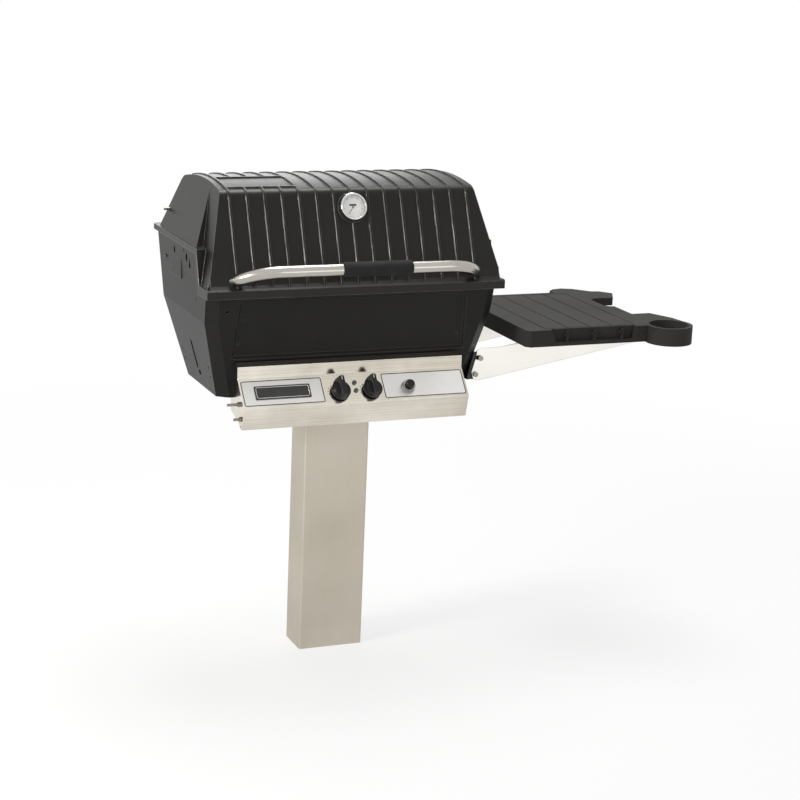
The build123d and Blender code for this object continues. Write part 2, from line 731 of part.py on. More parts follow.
def make_gauge_stem():
    """Probe that carries the case: a flange under the dial's plate and a rod through the lid."""
    rod = Pos(0, 0, -GAUGE_STEM_LENGTH) * extrude(Circle(GAUGE_STEM / 2), amount=GAUGE_STEM_LENGTH + 3)
    spindle = Pos(0, 0, 3) * extrude(Circle(1.0), amount=2.6)
    return GAUGE_BASE * (rod + spindle)


def make_gauge_needle():
    hub = extrude(Circle(2.6), amount=1.2)
    hand = extrude(outline((-0.9, -6), (0.9, -6), (0.4, NEEDLE_LENGTH), (-0.4, NEEDLE_LENGTH)), amount=0.8)
    needle = (hub + hand) - extrude(Circle(1.0 + RUNNING), amount=2)
    return GAUGE_BASE * Pos(0, 0, 4.3) * Rot(0, 0, -NEEDLE_REST) * needle


def make_gauge_lens():
    disc = extrude(Circle(GAUGE / 2 - GAUGE_RIM - RUNNING), amount=2)
    return GAUGE_BASE * Pos(0, 0, GAUGE_DEEP - 4) * disc


def make_gauge_nut():
    nut = extrude(RegularPolygon(9, 6), amount=6) - extrude(Circle(GAUGE_STEM / 2 + RUNNING), amount=6)
    return GAUGE_PLANE * Pos(0, 0, -LID_WALL - 6) * nut


# Console

def bent_sheet(points, thickness):
    """Closed outline of a bent sheet: a line of points and its parallel on the left, with mitred bends."""
    normals = []
    for (y0, z0), (y1, z1) in zip(points, points[1:]):
        length = hypot(y1 - y0, z1 - z0)
        normals.append((-(z1 - z0) / length, (y1 - y0) / length))
    inner = []
    for index, (y, z) in enumerate(points):
        (ay, az), (by, bz) = normals[max(index - 1, 0)], normals[min(index, len(normals) - 1)]
        scale = thickness / (1 + ay * by + az * bz)
        inner.append((y + (ay + by) * scale, z + (az + bz) * scale))
    return list(points), inner


HEM_DIRECTION = atan2(END_FOOT - HEM[1], END_BACK - HEM[0])
HEM_END = (HEM[0] + HEM_RETURN * cos(HEM_DIRECTION), HEM[1] + HEM_RETURN * sin(HEM_DIRECTION))
CONSOLE_LINE = [side(*point) for point in (LIP_BACK, STRIP_TOP, FOLD, CHIN, HEM, HEM_END)]
CONSOLE_OUTER, CONSOLE_INNER = bent_sheet(CONSOLE_LINE, CONSOLE_SHEET)

FACE_RUN = hypot(FOLD[0] - CHIN[0], FOLD[1] - CHIN[1])
FACE = Plane(
    origin=(0, *side(*FOLD)), x_dir=(1, 0, 0),
    z_dir=(0, -(FOLD[1] - CHIN[1]), FOLD[0] - CHIN[0]),
)


def on_face(x, down, out=0.0):
    """Plane on the inclined face: x from the middle, down from its top fold, out of the sheet."""
    return FACE * Pos(x, -down, out)


def make_console():
    shell = prism(CONSOLE_OUTER + CONSOLE_INNER[::-1], -CONSOLE_WIDTH / 2, CONSOLE_WIDTH / 2)
    through = 4 * CONSOLE_SHEET
    for x in (-KNOB_X, KNOB_X):
        shell = shell - on_face(x, KNOB_DOWN) * extrude(Circle(STEM / 2 + 2), amount=through, both=True)
    for down in FACE_SCREWS:
        shell = shell - on_face(0, down) * extrude(Circle(2.5 + BOLT_PLAY), amount=through, both=True)
    hole = extrude(Circle(IGNITER_BARREL / 2 - 2 + BOLT_PLAY), amount=through, both=True)
    return shell - on_face(IGNITER_X, IGNITER_DOWN) * hole


def make_console_end(way):
    """End plate inside the sheet, with a flange that lies on the firebox's front wall."""
    outer_x = way * (CONSOLE_WIDTH / 2 - 1)
    inner_x = outer_x - way * CONSOLE_SHEET
    flange_x = outer_x - way * 22
    top = CONSOLE_INNER[1][1] - RIM_Z
    points = CONSOLE_INNER[1:] + [
        side(END_BACK, END_FOOT), side(END_BACK, FLOOR - BODY_GAP), side(FRONT_FLOOR, FLOOR - BODY_GAP),
        side(front_wall(FLOOR), FLOOR), side(front_wall(top), top),
    ]
    plate = prism(points, min(outer_x, inner_x), max(outer_x, inner_x))
    low = CHIN[1] + 8
    back = CONSOLE_SHEET * hypot(1, FRONT_LEAN)
    flange = prism([
        side(front_wall(top), top), side(front_wall(top) - back, top),
        side(front_wall(low) - back, low), side(front_wall(low), low),
    ], min(flange_x, outer_x), max(flange_x, outer_x))
    end = plate + flange
    for depth, height, _ in STUD_PLACES if way < 0 else ():
        end = end - bar_x(depth, height, outer_x - 10, outer_x + 10, STUD + 2 * RUNNING)
    for place in console_bolt_places():
        end = end - place * extrude(Circle(STUD / 2 + BOLT_PLAY), amount=5 * CONSOLE_SHEET)
    return end


def make_console_bolt(place):
    return bolt(place * Pos(0, 0, CONSOLE_SHEET), STUD, CONSOLE_SHEET + FRONT_WALL * 0.7, 1.7 * STUD, 4)


def make_stud(depth, height, length):
    """Threaded stud through the left end plate, with a nut against each face of it."""
    outer = 1 - CONSOLE_WIDTH / 2
    inner = outer + CONSOLE_SHEET
    y, z = side(depth, height)
    stud = bar_x(depth, height, outer - length, inner + 8, STUD)
    for face, out in ((outer, -1), (inner, 1)):
        place = Plane((face, y, z), z_dir=(out, 0, 0))
        stud = stud + place * extrude(RegularPolygon(STUD * 0.95, 6), amount=5)
    return stud


def make_badge():
    plate = extrude(RectangleRounded(*BADGE_SIZE, 2), amount=BADGE_THICK)
    field = Pos(0, 0, BADGE_THICK - 0.6) * extrude(Rectangle(BADGE_SIZE[0] - 6, BADGE_SIZE[1] - 6), amount=1)
    return on_face(BADGE_INSET - CONSOLE_WIDTH / 2, BADGE_DOWN) * (plate - field)


# Knobs, valves and gas line

STEM_FOOT = VALVE_NOSE + 26
COLLAR_BACK = VALVE_NOSE - PUSH_TRAVEL - BODY_GAP


def make_knob(x):
    """Skirt, tapered body and a grip bar that points up when the valve is shut."""
    skirt = extrude(Circle(KNOB_BASE / 2), amount=6)
    body = Pos(0, 0, 6) * extrude(Circle(KNOB_BASE / 2 - 2), amount=6, taper=18)
    half = KNOB_BASE / 2
    bar = extrude(RectangleRounded(KNOB_GRIP, 2 * half + 9, 7), amount=KNOB_HEIGHT, taper=9)
    bar = Pos(0, 3.5, 0) * fillet(bar.edges().group_by(Axis.Z)[-1], 2)
    socket = extrude(Circle(STEM / 2 + RUNNING), amount=14)
    return on_face(x, KNOB_DOWN, KNOB_STAND) * (skirt + body + bar - socket)


def make_stem(x):
    """Spindle that turns and pushes: its shoulder bears on the push collar."""
    length = STEM_FOOT + KNOB_STAND + 14
    rod = Pos(0, 0, -STEM_FOOT) * extrude(Circle(STEM / 2), amount=length)
    shoulder = Pos(0, 0, -COLLAR_BACK + 5.3) * extrude(Circle(STEM / 2 + 1.5), amount=1.5)
    return on_face(x, KNOB_DOWN) * (rod + shoulder)


def make_collar(x):
    ring = extrude(Circle(STEM / 2 + 3.5), amount=5) - extrude(Circle(STEM / 2 + RUNNING), amount=5)
    ring = ring + Pos(0, 0, -PUSH_TRAVEL - 8) * (
        extrude(Circle(STEM / 2 + 1.5), amount=PUSH_TRAVEL + 8)
        - extrude(Circle(STEM / 2 + RUNNING), amount=PUSH_TRAVEL + 8))
    return on_face(x, KNOB_DOWN, -COLLAR_BACK) * ring


def make_valve(x):
    """Valve block with a nose for the push collar and a spigot seated on the manifold."""
    width, tall = VALVE_SIZE
    body = extrude(RectangleRounded(width, tall, 4), amount=-VALVE_LENGTH)
    spigot = Pos(0, -(tall / 2 + MANIFOLD_DROP - MANIFOLD / 2) / 2, -VALVE_LENGTH / 2) * Box(
        14, MANIFOLD_DROP - MANIFOLD / 2 - tall / 2, 14)
    body = body + spigot
    body = body - extrude(Circle(STEM / 2 + 2), amount=-16)
    depth = STEM_FOOT - VALVE_NOSE + PUSH_TRAVEL + 2
    body = body - extrude(Circle(STEM / 2 + BODY_GAP), amount=-depth)
    return on_face(x, KNOB_DOWN, -VALVE_NOSE) * body


def make_orifice(x):
    start = -VALVE_NOSE - VALVE_LENGTH
    plug = extrude(Circle(ORIFICE / 2), amount=-ORIFICE_LENGTH)
    collar = extrude(RegularPolygon(ORIFICE * 0.7, 6), amount=-4)
    jet = extrude(Circle(0.8), amount=-ORIFICE_LENGTH)
    return on_face(x, KNOB_DOWN, start) * (plug + collar - jet)


MANIFOLD_OUT = -VALVE_NOSE - VALVE_LENGTH / 2
MANIFOLD_DOWN = KNOB_DOWN + MANIFOLD_DROP


def make_manifold():
    """Square pipe under both valves, with a strap that the two face screws hold to the sheet."""
    pipe = Box(2 * MANIFOLD_HALF, MANIFOLD, MANIFOLD)
    pipe = pipe - Pos(-2, 0, 0) * Box(2 * MANIFOLD_HALF, MANIFOLD - 4, MANIFOLD - 4)
    pipe = on_face(0, MANIFOLD_DOWN, MANIFOLD_OUT) * pipe
    under = -CONSOLE_SHEET
    top, foot = FACE_SCREWS[0] - 8, MANIFOLD_DOWN - MANIFOLD / 2
    tab = on_face(0, (top + foot) / 2, under - 1) * Box(20, foot - top, 2)
    leg_end = MANIFOLD_OUT + MANIFOLD / 2
    leg = on_face(0, foot - 1, (under + leg_end) / 2) * Box(20, 2, under - leg_end)
    strap = tab + leg + on_face(0, foot + 3, leg_end + 1) * Box(20, 8, 2)
    for down in FACE_SCREWS:
        strap = strap - on_face(0, down, under) * extrude(Circle(2.5 + BOLT_PLAY), amount=-4)
    return pipe + strap


def make_inlet():
    """Elbow on the left end of the manifold; its socket for the gas line points to the back."""
    x, y, z = Plane(on_face(-MANIFOLD_HALF, MANIFOLD_DOWN, MANIFOLD_OUT)).origin
    depth, height = y - LIP_Y, z - RIM_Z
    turn = x - INLET_REACH
    socket = depth + INLET_ELBOW
    passage = INLET_BORE - 4
    knee = INLET / 2 + 1.5
    elbow = block(turn - knee, turn + knee, depth - knee, depth + knee, height - knee, height + knee)
    elbow = elbow + bar_x(depth, height, turn, x, INLET)
    elbow = elbow + bar_y(turn, height, depth, socket + INLET_LENGTH, INLET)
    elbow = elbow + Plane((x, y, z), z_dir=(-1, 0, 0)) * extrude(RegularPolygon(INLET * 0.72, 6), amount=8)
    elbow = elbow - bar_y(turn, height, socket, socket + INLET_LENGTH, INLET_BORE)
    return elbow - bar_y(turn, height, depth, socket, passage) - bar_x(depth, height, turn, x, passage)


def make_face_screw(down):
    """Slotted pan screw through the sheet and the manifold's strap."""
    head = extrude(Circle(5), amount=2.8) - Pos(0, 0, 2) * Box(12, 1.4, 2)
    return on_face(0, down) * (head + extrude(Circle(2.5), amount=-CONSOLE_SHEET - 6))


def make_igniter_collar():
    ring = extrude(Circle(IGNITER_COLLAR / 2), amount=IGNITER_COLLAR_HEIGHT, taper=8)
    ring = ring - extrude(Circle(IGNITER_BUTTON / 2 + BODY_GAP), amount=IGNITER_COLLAR_HEIGHT)
    return on_face(IGNITER_X, IGNITER_DOWN) * ring


def make_igniter_button():
    lift = IGNITER_TRAVEL + BODY_GAP
    cap = extrude(Circle(IGNITER_BUTTON / 2), amount=IGNITER_COLLAR_HEIGHT + IGNITER_BUTTON_PROUD - lift)
    cap = fillet(cap.edges().group_by(Axis.Z)[-1], 2.5)
    plunger = extrude(Circle(IGNITER_BUTTON / 4), amount=-14)
    return on_face(IGNITER_X, IGNITER_DOWN, lift) * (cap + plunger)


def make_igniter_barrel():
    neck = extrude(Circle(IGNITER_BARREL / 2 - 2), amount=-CONSOLE_SHEET)
    body = Pos(0, 0, -CONSOLE_SHEET) * extrude(Circle(IGNITER_BARREL / 2), amount=-IGNITER_BARREL_LENGTH)
    bore = extrude(Circle(IGNITER_BUTTON / 4 + BODY_GAP), amount=-18)
    return on_face(IGNITER_X, IGNITER_DOWN) * (neck + body - bore)


# Burner, venturi tubes, electrode, grids and briquettes

def make_burner():
    """Bow-tie pan on two cast posts, with two inlet necks at the front."""
    end, waist, length = BURNER_END / 2, BURNER_WAIST / 2, BURNER_LENGTH / 2
    shape = outline((-length, -end), (0, -waist), (length, -end), (length, end), (0, waist), (-length, end))
    necks = Sketch()
    for way in (-1, 1):
        reach = BURNER_DEPTH - VENTURI_RISE + VENTURI * 0.8
        necks = necks + Pos(way * KNOB_X, -reach / 2) * RectangleRounded(VENTURI * 1.5, reach, 8)
    pan = extrude(shape + necks, amount=BURNER_TALL)
    pan = chamfer(pan.edges().group_by(Axis.Z)[-1], 4)
    room = offset(shape + necks, amount=-BURNER_SKIN)
    pan = pan - Pos(0, 0, BURNER_SKIN) * extrude(room, amount=BURNER_TALL - 3 * BURNER_SKIN)
    for way in (-1, 1):
        mouth = Pos(way * KNOB_X, VENTURI_RISE - BURNER_DEPTH) * Circle(VENTURI / 2 - VENTURI_WALL)
        pan = pan - extrude(mouth, amount=2 * BURNER_SKIN)
    place = Pos(0, LIP_Y + BURNER_DEPTH, RIM_Z + BURNER_SEAT)
    return place * pan


def venturi_path(x):
    """From the orifice in line with the valve, round under the floor and up into the burner."""
    axis = Plane(on_face(x, KNOB_DOWN))
    start = axis.origin + axis.z_dir * (-VALVE_NOSE - VALVE_LENGTH - ORIFICE_LENGTH * 0.5)
    rise_y = LIP_Y + VENTURI_RISE
    run = (rise_y - start.Y) / -axis.z_dir.Y
    corner = start - axis.z_dir * run
    end = Vector(x, rise_y, RIM_Z + BURNER_SEAT)
    return FilletPolyline(start, corner, end, radius=VENTURI_BEND)


def make_venturi(x):
    path = venturi_path(x).wire()
    return tube_along(path, VENTURI) - tube_along(path, VENTURI - 2 * VENTURI_WALL)


def make_electrode():
    """Ceramic spark rod through the floor, with a shoulder that rests on it."""
    x, depth = ELECTRODE_AT
    rod = bar_z(x, depth, FLOOR - 14, BURNER_SEAT + 10, ELECTRODE)
    return rod + bar_z(x, depth, FLOOR + WALL, FLOOR + WALL + 5, ELECTRODE + 8)


def rod_panel(x_from, x_to, front, rear, seat_height, rod, pitch):
    """Grid of rods from front to back on three cross rods that rest on a ledge."""
    cross = seat_height + rod / 2 + RUNNING
    top = cross + 0.8 * rod
    count = int((x_to - x_from - rod) // pitch)
    step = (x_to - x_from - rod) / count
    panel = bar_x((front + rear) / 2, cross, x_from, x_to, rod)
    for depth in (front + rod / 2, rear - rod / 2):
        panel = panel + bar_x(depth, cross, x_from, x_to, rod)
    for index in range(count + 1):
        panel = panel + bar_y(x_from + rod / 2 + index * step, top, front, rear, rod)
    return panel


def seat_span(height, rod):
    """Room inside the firebox just over a ledge: half width, front and rear."""
    half = min(wall_half(height), wall_half(height + 2 * rod)) - WALL - GRID_PLAY
    front = max(front_wall(height), front_wall(height + 2 * rod)) + FRONT_WALL + GRID_PLAY
    rear = min(rear_wall(height), rear_wall(height + 2 * rod)) - WALL - GRID_PLAY
    return half, front, rear


def make_cooking_grid(way):
    half, front, rear = seat_span(GRID_SEAT, ROD)
    half -= FRONT_CORNER[0]
    x_from, x_to = sorted((way * GRID_PLAY / 2, way * half))
    return rod_panel(x_from, x_to, front + 2, rear, GRID_SEAT, ROD, GRID_PITCH)


def make_briquette_grate():
    half, front, rear = seat_span(BRIQUETTE_SEAT, GRATE_ROD)
    half -= FRONT_CORNER[0]
    return rod_panel(-half, half, front + 2, rear, BRIQUETTE_SEAT, GRATE_ROD, GRATE_PITCH)


def make_briquettes():
    """Rows of blunt ceramic pyramids lying on the grate."""
    top = BRIQUETTE_SEAT + GRATE_ROD / 2 + RUNNING + 0.8 * GRATE_ROD + GRATE_ROD / 2 + RUNNING
    half, front, rear = seat_span(BRIQUETTE_SEAT, GRATE_ROD)
    brick = extrude(Rectangle(BRIQUETTE, BRIQUETTE), amount=BRIQUETTE_TALL, taper=16)
    columns, rows = BRIQUETTE_GRID
    middle = (front + rear) / 2
    bricks = []
    for column in range(columns):
        for row in range(rows):
            x = (column - (columns - 1) / 2) * BRIQUETTE_PITCH
            depth = middle + (row - (rows - 1) / 2) * BRIQUETTE_PITCH
            bricks.append(Pos(x, LIP_Y + depth, RIM_Z + top) * brick)
    return group(bricks)


# Warming rack: lid pins, rack, links and link pins form a parallelogram with the lid hinge

RACK_PIVOT = (HINGE_DEPTH + RACK_ARM[0], HINGE_HEIGHT + RACK_ARM[1])
LINK_FOOT = (HINGE_DEPTH + RACK_SPREAD[0], HINGE_HEIGHT + RACK_SPREAD[1])
LINK_HEAD = (LINK_FOOT[0] + RACK_ARM[0], LINK_FOOT[1] + RACK_ARM[1])
LINK_X = RACK_HALF + RACK_PLATE + BODY_GAP
LINK_PLATE = 3.0


def lid_end(height):
    """Half width of the lid's end panel at a height."""
    lean = (CHEEK_HALF_FOOT - CHEEK_HALF_TOP) / (CHEEK_TOP - SIDE_TOP - FLANGE)
    return CHEEK_HALF_FOOT - lean * (height - SIDE_TOP - FLANGE)


def rack_lid_pin(way, diameter):
    """Pin through the lid's end wall into the rack's end plate; its outer end shows beside the lid."""
    x_from, x_to = sorted((way * (RACK_HALF - 3), way * (lid_end(RACK_PIVOT[1]) + RACK_PIN_SHOWS)))
    return bar_x(*RACK_PIVOT, x_from, x_to, diameter)


def rack_link_bore(way, diameter):
    """Cylinder from a link's foot out through the firebox's end wall."""
    x_from, x_to = sorted((way * (LINK_X - 3), way * (wall_half(LINK_FOOT[1]) + 2.4)))
    return bar_x(*LINK_FOOT, x_from, x_to, diameter)


def make_rack_link_pin(way):
    """Pin through the firebox's end wall to the foot of a link, locked outside by a flat key."""
    outer = wall_half(LINK_FOOT[1])
    k_from, k_to = sorted((way * (outer + 0.4), way * (outer + 2.4)))
    depth, height = LINK_FOOT
    wide, tall = RACK_KEY
    key = block(k_from, k_to, depth - wide / 2, depth + wide / 2, height - tall / 2, height + tall / 2)
    return rack_link_bore(way, RACK_PIN) + key


def make_rack_link(way):
    x_from, x_to = sorted((way * LINK_X, way * (LINK_X + LINK_PLATE)))
    eyes = [bar_x(*point, x_from, x_to, 2.2 * RACK_PIN) for point in (LINK_FOOT, LINK_HEAD)]
    length = hypot(*RACK_ARM)
    angle = degrees(atan2(RACK_ARM[1], RACK_ARM[0]))
    middle = side((LINK_FOOT[0] + LINK_HEAD[0]) / 2, (LINK_FOOT[1] + LINK_HEAD[1]) / 2)
    strip = extrude(Plane.YZ.offset(x_from) * Pos(*middle) * Rot(0, 0, angle) * Rectangle(length, 10),
                    amount=LINK_PLATE)
    link = strip + eyes[0] + eyes[1]
    link = link - bar_x(*LINK_FOOT, x_from - 1, x_to + 1, RACK_PIN + 2 * RUNNING)
    return link - bar_x(*LINK_HEAD, x_from - 1, x_to + 1, RACK_PIN + 2 * BODY_GAP)


def make_rack():
    """Tray of rods between two end plates; a leg of each plate carries the pin for its link."""
    rear, middle = RACK_PIVOT
    front = rear - RACK_REACH
    low, high = middle - RACK_BAR / 2, middle + RACK_BAR / 2
    rack = None
    for index in range(RACK_RODS):
        depth = front + RACK_ROD + (RACK_REACH - RACK_BAR - 2 * RACK_ROD) * index / (RACK_RODS - 1)
        rod = bar_x(depth, middle, -RACK_HALF - RACK_PLATE / 2, RACK_HALF + RACK_PLATE / 2, RACK_ROD)
        rack = rod if rack is None else rack + rod
    for x in (-RACK_HALF / 3, RACK_HALF / 3):
        rack = rack + bar_y(x, middle - RACK_ROD / 2, front + 2, rear - 2 * RACK_ROD, RACK_ROD / 2)
    for way in (-1, 1):
        x_from, x_to = sorted((way * RACK_HALF, way * (RACK_HALF + RACK_PLATE)))
        rack = rack + block(x_from, x_to, front, rear, low, high)
        rack = rack + bar_x(*RACK_PIVOT, x_from, x_to, RACK_BAR)
        foot, fall = LINK_HEAD
        rack = rack + block(x_from, x_to, foot - RACK_PIN, foot + RACK_PIN, fall, middle)
        rack = rack + bar_x(*LINK_HEAD, x_from, x_to, 2 * RACK_PIN)
        rack = rack - bar_x(*RACK_PIVOT, x_from - 2, x_to + 2, RACK_PIN + 2 * RUNNING)
        p_from, p_to = sorted((way * RACK_HALF, way * (LINK_X + LINK_PLATE + 2)))
        rack = rack + bar_x(*LINK_HEAD, p_from, p_to, RACK_PIN)
    return rack


# Folding shelf

def plan(depth_points):
    """Plan outline from (x, depth) points."""
    return outline(*[(x, LIP_Y + depth) for x, depth in depth_points])


def make_shelf():
    """Moulded top: skirted panel, cup ring at the front corner, lobe at the rear corner, tool pocket."""
    top = RIM_Z + SHELF_TOP
    level = Plane.XY.offset(top)
    panel = plan([
        (SHELF_LEFT + 10, SHELF_FRONT), (SHELF_RIGHT, SHELF_FRONT), (SHELF_RIGHT, SHELF_REAR),
        (SHELF_LEFT, SHELF_REAR), (SHELF_LEFT, SHELF_FRONT + 10),
    ])
    cup_x, cup_depth = CUP_AT
    cup_radius = CUP / 2 + CUP_WALL
    neck = plan([
        (SHELF_RIGHT - 20, SHELF_FRONT), (cup_x + cup_radius * 0.98, cup_depth),
        (cup_x + cup_radius * 0.8, cup_depth + 62), (cup_x + 16, cup_depth + 122),
        (SHELF_RIGHT - 20, cup_depth + 122),
    ])
    lobe_from, lobe_to = BITE_DEPTHS[1], SHELF_REAR + 43
    lobe = plan([
        (SHELF_RIGHT - 60, lobe_from), (SHELF_RIGHT + 46, lobe_from), (SHELF_RIGHT + 71, lobe_from + 50),
        (SHELF_RIGHT + 48, lobe_from + 78), (SHELF_RIGHT + 28, lobe_from + 82),
        (SHELF_RIGHT - 6, lobe_to - 10), (SHELF_RIGHT - 32, lobe_to), (SHELF_RIGHT - 58, lobe_to - 6),
        (SHELF_RIGHT - 74, lobe_to - 23),
    ])
    solid = extrude(level * panel, amount=-SHELF_TALL)
    ring = Pos(cup_x, LIP_Y + cup_depth, top) * extrude(Circle(cup_radius), amount=-SHELF_TALL - 3)
    wing = extrude(level * neck, amount=-SHELF_TALL) + extrude(level * lobe, amount=-SHELF_TALL / 2)
    solid = solid + wing + ring
    hollow = block(
        SHELF_LEFT + SHELF_SKIN, SHELF_RIGHT - 3 * SHELF_SKIN, SHELF_FRONT + POCKET_DEEP + SHELF_SKIN,
        SHELF_REAR - SHELF_SKIN, SHELF_TOP - SHELF_SKIN, SHELF_TOP - SHELF_TALL,
    )
    bite_middle = (BITE_LEFT + 60, LIP_Y + sum(BITE_DEPTHS) / 2)
    bite = Pos(*bite_middle, top) * extrude(
        RectangleRounded(120, BITE_DEPTHS[1] - BITE_DEPTHS[0], 20), amount=SHELF_TALL * 2, both=True)
    solid = solid - bite
    wall_back = BITE_LEFT - SHELF_SKIN
    hollow = hollow - block(
        wall_back, SHELF_RIGHT, BITE_DEPTHS[0] - SHELF_SKIN, BITE_DEPTHS[1] + SHELF_SKIN,
        SHELF_TOP, SHELF_TOP - 2 * SHELF_TALL)
    solid = solid - hollow
    well = extrude(Circle(CUP / 2), amount=2 * SHELF_TALL, both=True)
    solid = solid - Pos(cup_x, LIP_Y + cup_depth, top) * well
    half = GROOVE_WIDTH / 2
    last = GROOVE_FIRST + (GROOVE_COUNT - 1) * GROOVE_PITCH
    floor = SHELF_TOP - GROOVE_DEEP
    for index in range(GROOVE_COUNT):
        x = GROOVE_FIRST + index * GROOVE_PITCH
        solid = solid - block(x - half, x + half, *GROOVE_ENDS, floor, SHELF_TOP + 1)
    for depth in GROOVE_ENDS:
        ends = (depth - half, depth + half)
        solid = solid - block(GROOVE_FIRST - half, last + half, *ends, floor, SHELF_TOP + 1)
    front = Plane(origin=(0, LIP_Y + SHELF_FRONT, 0), x_dir=(1, 0, 0), z_dir=(0, -1, 0))
    pocket = outline(
        (POCKET_TOP[0], top + 1), (POCKET_TOP[1], top + 1),
        (POCKET_FOOT[1], top - POCKET_TALL), (POCKET_FOOT[0], top - POCKET_TALL),
    )
    solid = solid - extrude(front * pocket, amount=-POCKET_DEEP)
    for x in HOOKS:
        back = SHELF_FRONT + POCKET_DEEP
        solid = solid + block(x + 3, x + 7, SHELF_FRONT, back, SHELF_TOP - 6, SHELF_TOP - POCKET_TALL)
        solid = solid + bar_y(x, SHELF_TOP - 13, SHELF_FRONT + 1, back, 5)
    for place in arm_screw_places():
        solid = solid - place * extrude(Circle(ARM_SCREW / 2 + RUNNING), amount=-ARM_SHEET - SCREW_BITE)
    return solid


ARM_TOP = SHELF_TOP - SHELF_SKIN
ARM_END = SHELF_RIGHT - 3 * SHELF_SKIN - 2


def arm_screw_places():
    """Planes under the arms' top flanges, looking down, where screws go up into the shelf."""
    places = []
    for depth, way in zip(ARM_DEPTHS, (1, -1)):
        middle = depth + way * 11
        for x in (SHELF_LEFT + 60, ARM_END - 60):
            spot = (x, LIP_Y + middle, RIM_Z + ARM_TOP - ARM_SHEET)
            places.append(Plane(origin=spot, x_dir=(1, 0, 0), z_dir=(0, 0, -1)))
    return places


def make_arm(depth, way):
    """Gusset of folded sheet: pivot hole, stop slot open to its end, and a flange under the shelf."""
    (px, pz), (sx, sz) = PIVOT, STOP
    inner = SHELF_LEFT + SHELF_SKIN + 2
    web = outline(*[(x, RIM_Z + z) for x, z in [
        (px - 9, pz + 4), (px - 3, pz - 13), (px + 10, pz - 15), (ARM_END, SHELF_TOP - SHELF_TALL - 14),
        (ARM_END, ARM_TOP), (inner, ARM_TOP), (inner, SHELF_TOP - SHELF_TALL - 3),
        (sx + 40, sz + 22), (sx, sz + 23), (sx - 8, sz + 19), (sx - 9, sz + 6),
    ]])
    y_from = LIP_Y + min(depth, depth + way * ARM_SHEET)
    place = Plane(origin=(0, y_from, 0), x_dir=(1, 0, 0), z_dir=(0, -1, 0))
    arm = extrude(place * web, amount=-ARM_SHEET)
    low, high = sorted((depth, depth + way * 20))
    arm = arm + block(inner, ARM_END, low, high, ARM_TOP - ARM_SHEET, ARM_TOP)
    y_low, y_high = y_from - LIP_Y - 1, y_from - LIP_Y + ARM_SHEET + 1
    arm = arm - bar_y(px, pz, y_low, y_high, ARM_BOLT + 2 * RUNNING)
    radius, rise = hypot(sx - px, sz - pz), degrees(atan2(sz - pz, sx - px))
    play = ARM_BOLT / 2 + BODY_GAP
    slot_path = CenterArc((px, RIM_Z + pz), radius, rise, 60)
    slot = place * trace(slot_path, line_width=2 * play) + place * Pos(sx, RIM_Z + sz) * Circle(play)
    arm = arm - extrude(slot, amount=3 * ARM_SHEET, both=True)
    for spot in arm_screw_places():
        arm = arm - spot * extrude(Circle(ARM_SCREW / 2 + BOLT_PLAY), amount=-2 * ARM_SHEET)
    return arm


def make_arm_screw(place):
    return bolt(place, ARM_SCREW, ARM_SHEET + SCREW_BITE, 2 * ARM_SCREW, 3)


EAR_DEPTHS = tuple(depth + way * (ARM_SHEET + BODY_GAP) for depth, way in zip(ARM_DEPTHS, (1, -1)))


def make_bracket():
    """Black channel on the tapered wall, with an ear at each end for an arm."""
    front, rear = EAR_DEPTHS
    high, low = STOP[1] + 14, PIVOT[1] - 12
    slope = hypot(1, WALL_LEAN)
    middle = wall_plane((front + rear) / 2, (high + low) / 2, True)
    base = middle * Pos(0, 0, BRACKET_SHEET / 2) * Box(rear - front, (high - low) * slope, BRACKET_SHEET)
    ears = [
        (wall_half(low) + BRACKET_SHEET / 2, low), (PIVOT[0] + 9, low), (STOP[0] + 11, high),
        (wall_half(high) + BRACKET_SHEET / 2, high),
    ]
    shape = outline(*[(x, RIM_Z + z) for x, z in ears])
    bracket = base
    for depth, way in zip(EAR_DEPTHS, (1, -1)):
        y_from = LIP_Y + min(depth, depth + way * BRACKET_SHEET)
        place = Plane(origin=(0, y_from, 0), x_dir=(1, 0, 0), z_dir=(0, -1, 0))
        bracket = bracket + extrude(place * shape, amount=-BRACKET_SHEET)
    for x, height in (PIVOT, STOP):
        bracket = bracket - bar_y(x, height, front - 5, rear + 5, ARM_BOLT + 2 * RUNNING)
    hole = extrude(Circle(BRACKET_BOLT / 2 + BOLT_PLAY), amount=2 * BRACKET_SHEET, both=True)
    for place in bracket_places(True):
        bracket = bracket - place * hole
    return bracket


def arm_bolt(point, depth, way):
    """Bolt through an arm and its ear: head in front of the arm, nut behind the ear."""
    x, height = point
    head_at = LIP_Y + depth - way * BODY_GAP
    start = Plane((x, head_at, RIM_Z + height), z_dir=(0, -way, 0))
    grip = 2 * BODY_GAP + ARM_SHEET + BRACKET_SHEET
    body = bolt(start, ARM_BOLT, grip + 9, 1.6 * ARM_BOLT, 5)
    return body + start * Pos(0, 0, -grip - 6) * extrude(RegularPolygon(0.8 * ARM_BOLT, 6), amount=6)


def make_arm_bolts(point):
    return group([arm_bolt(point, depth, way) for depth, way in zip(ARM_DEPTHS, (1, -1))])


def make_bracket_bolt(place):
    length = BRACKET_SHEET + WALL + 8
    return bolt(place * Pos(0, 0, BRACKET_SHEET), BRACKET_BOLT, length, 1.8 * BRACKET_BOLT, 4)


# Post and saddle

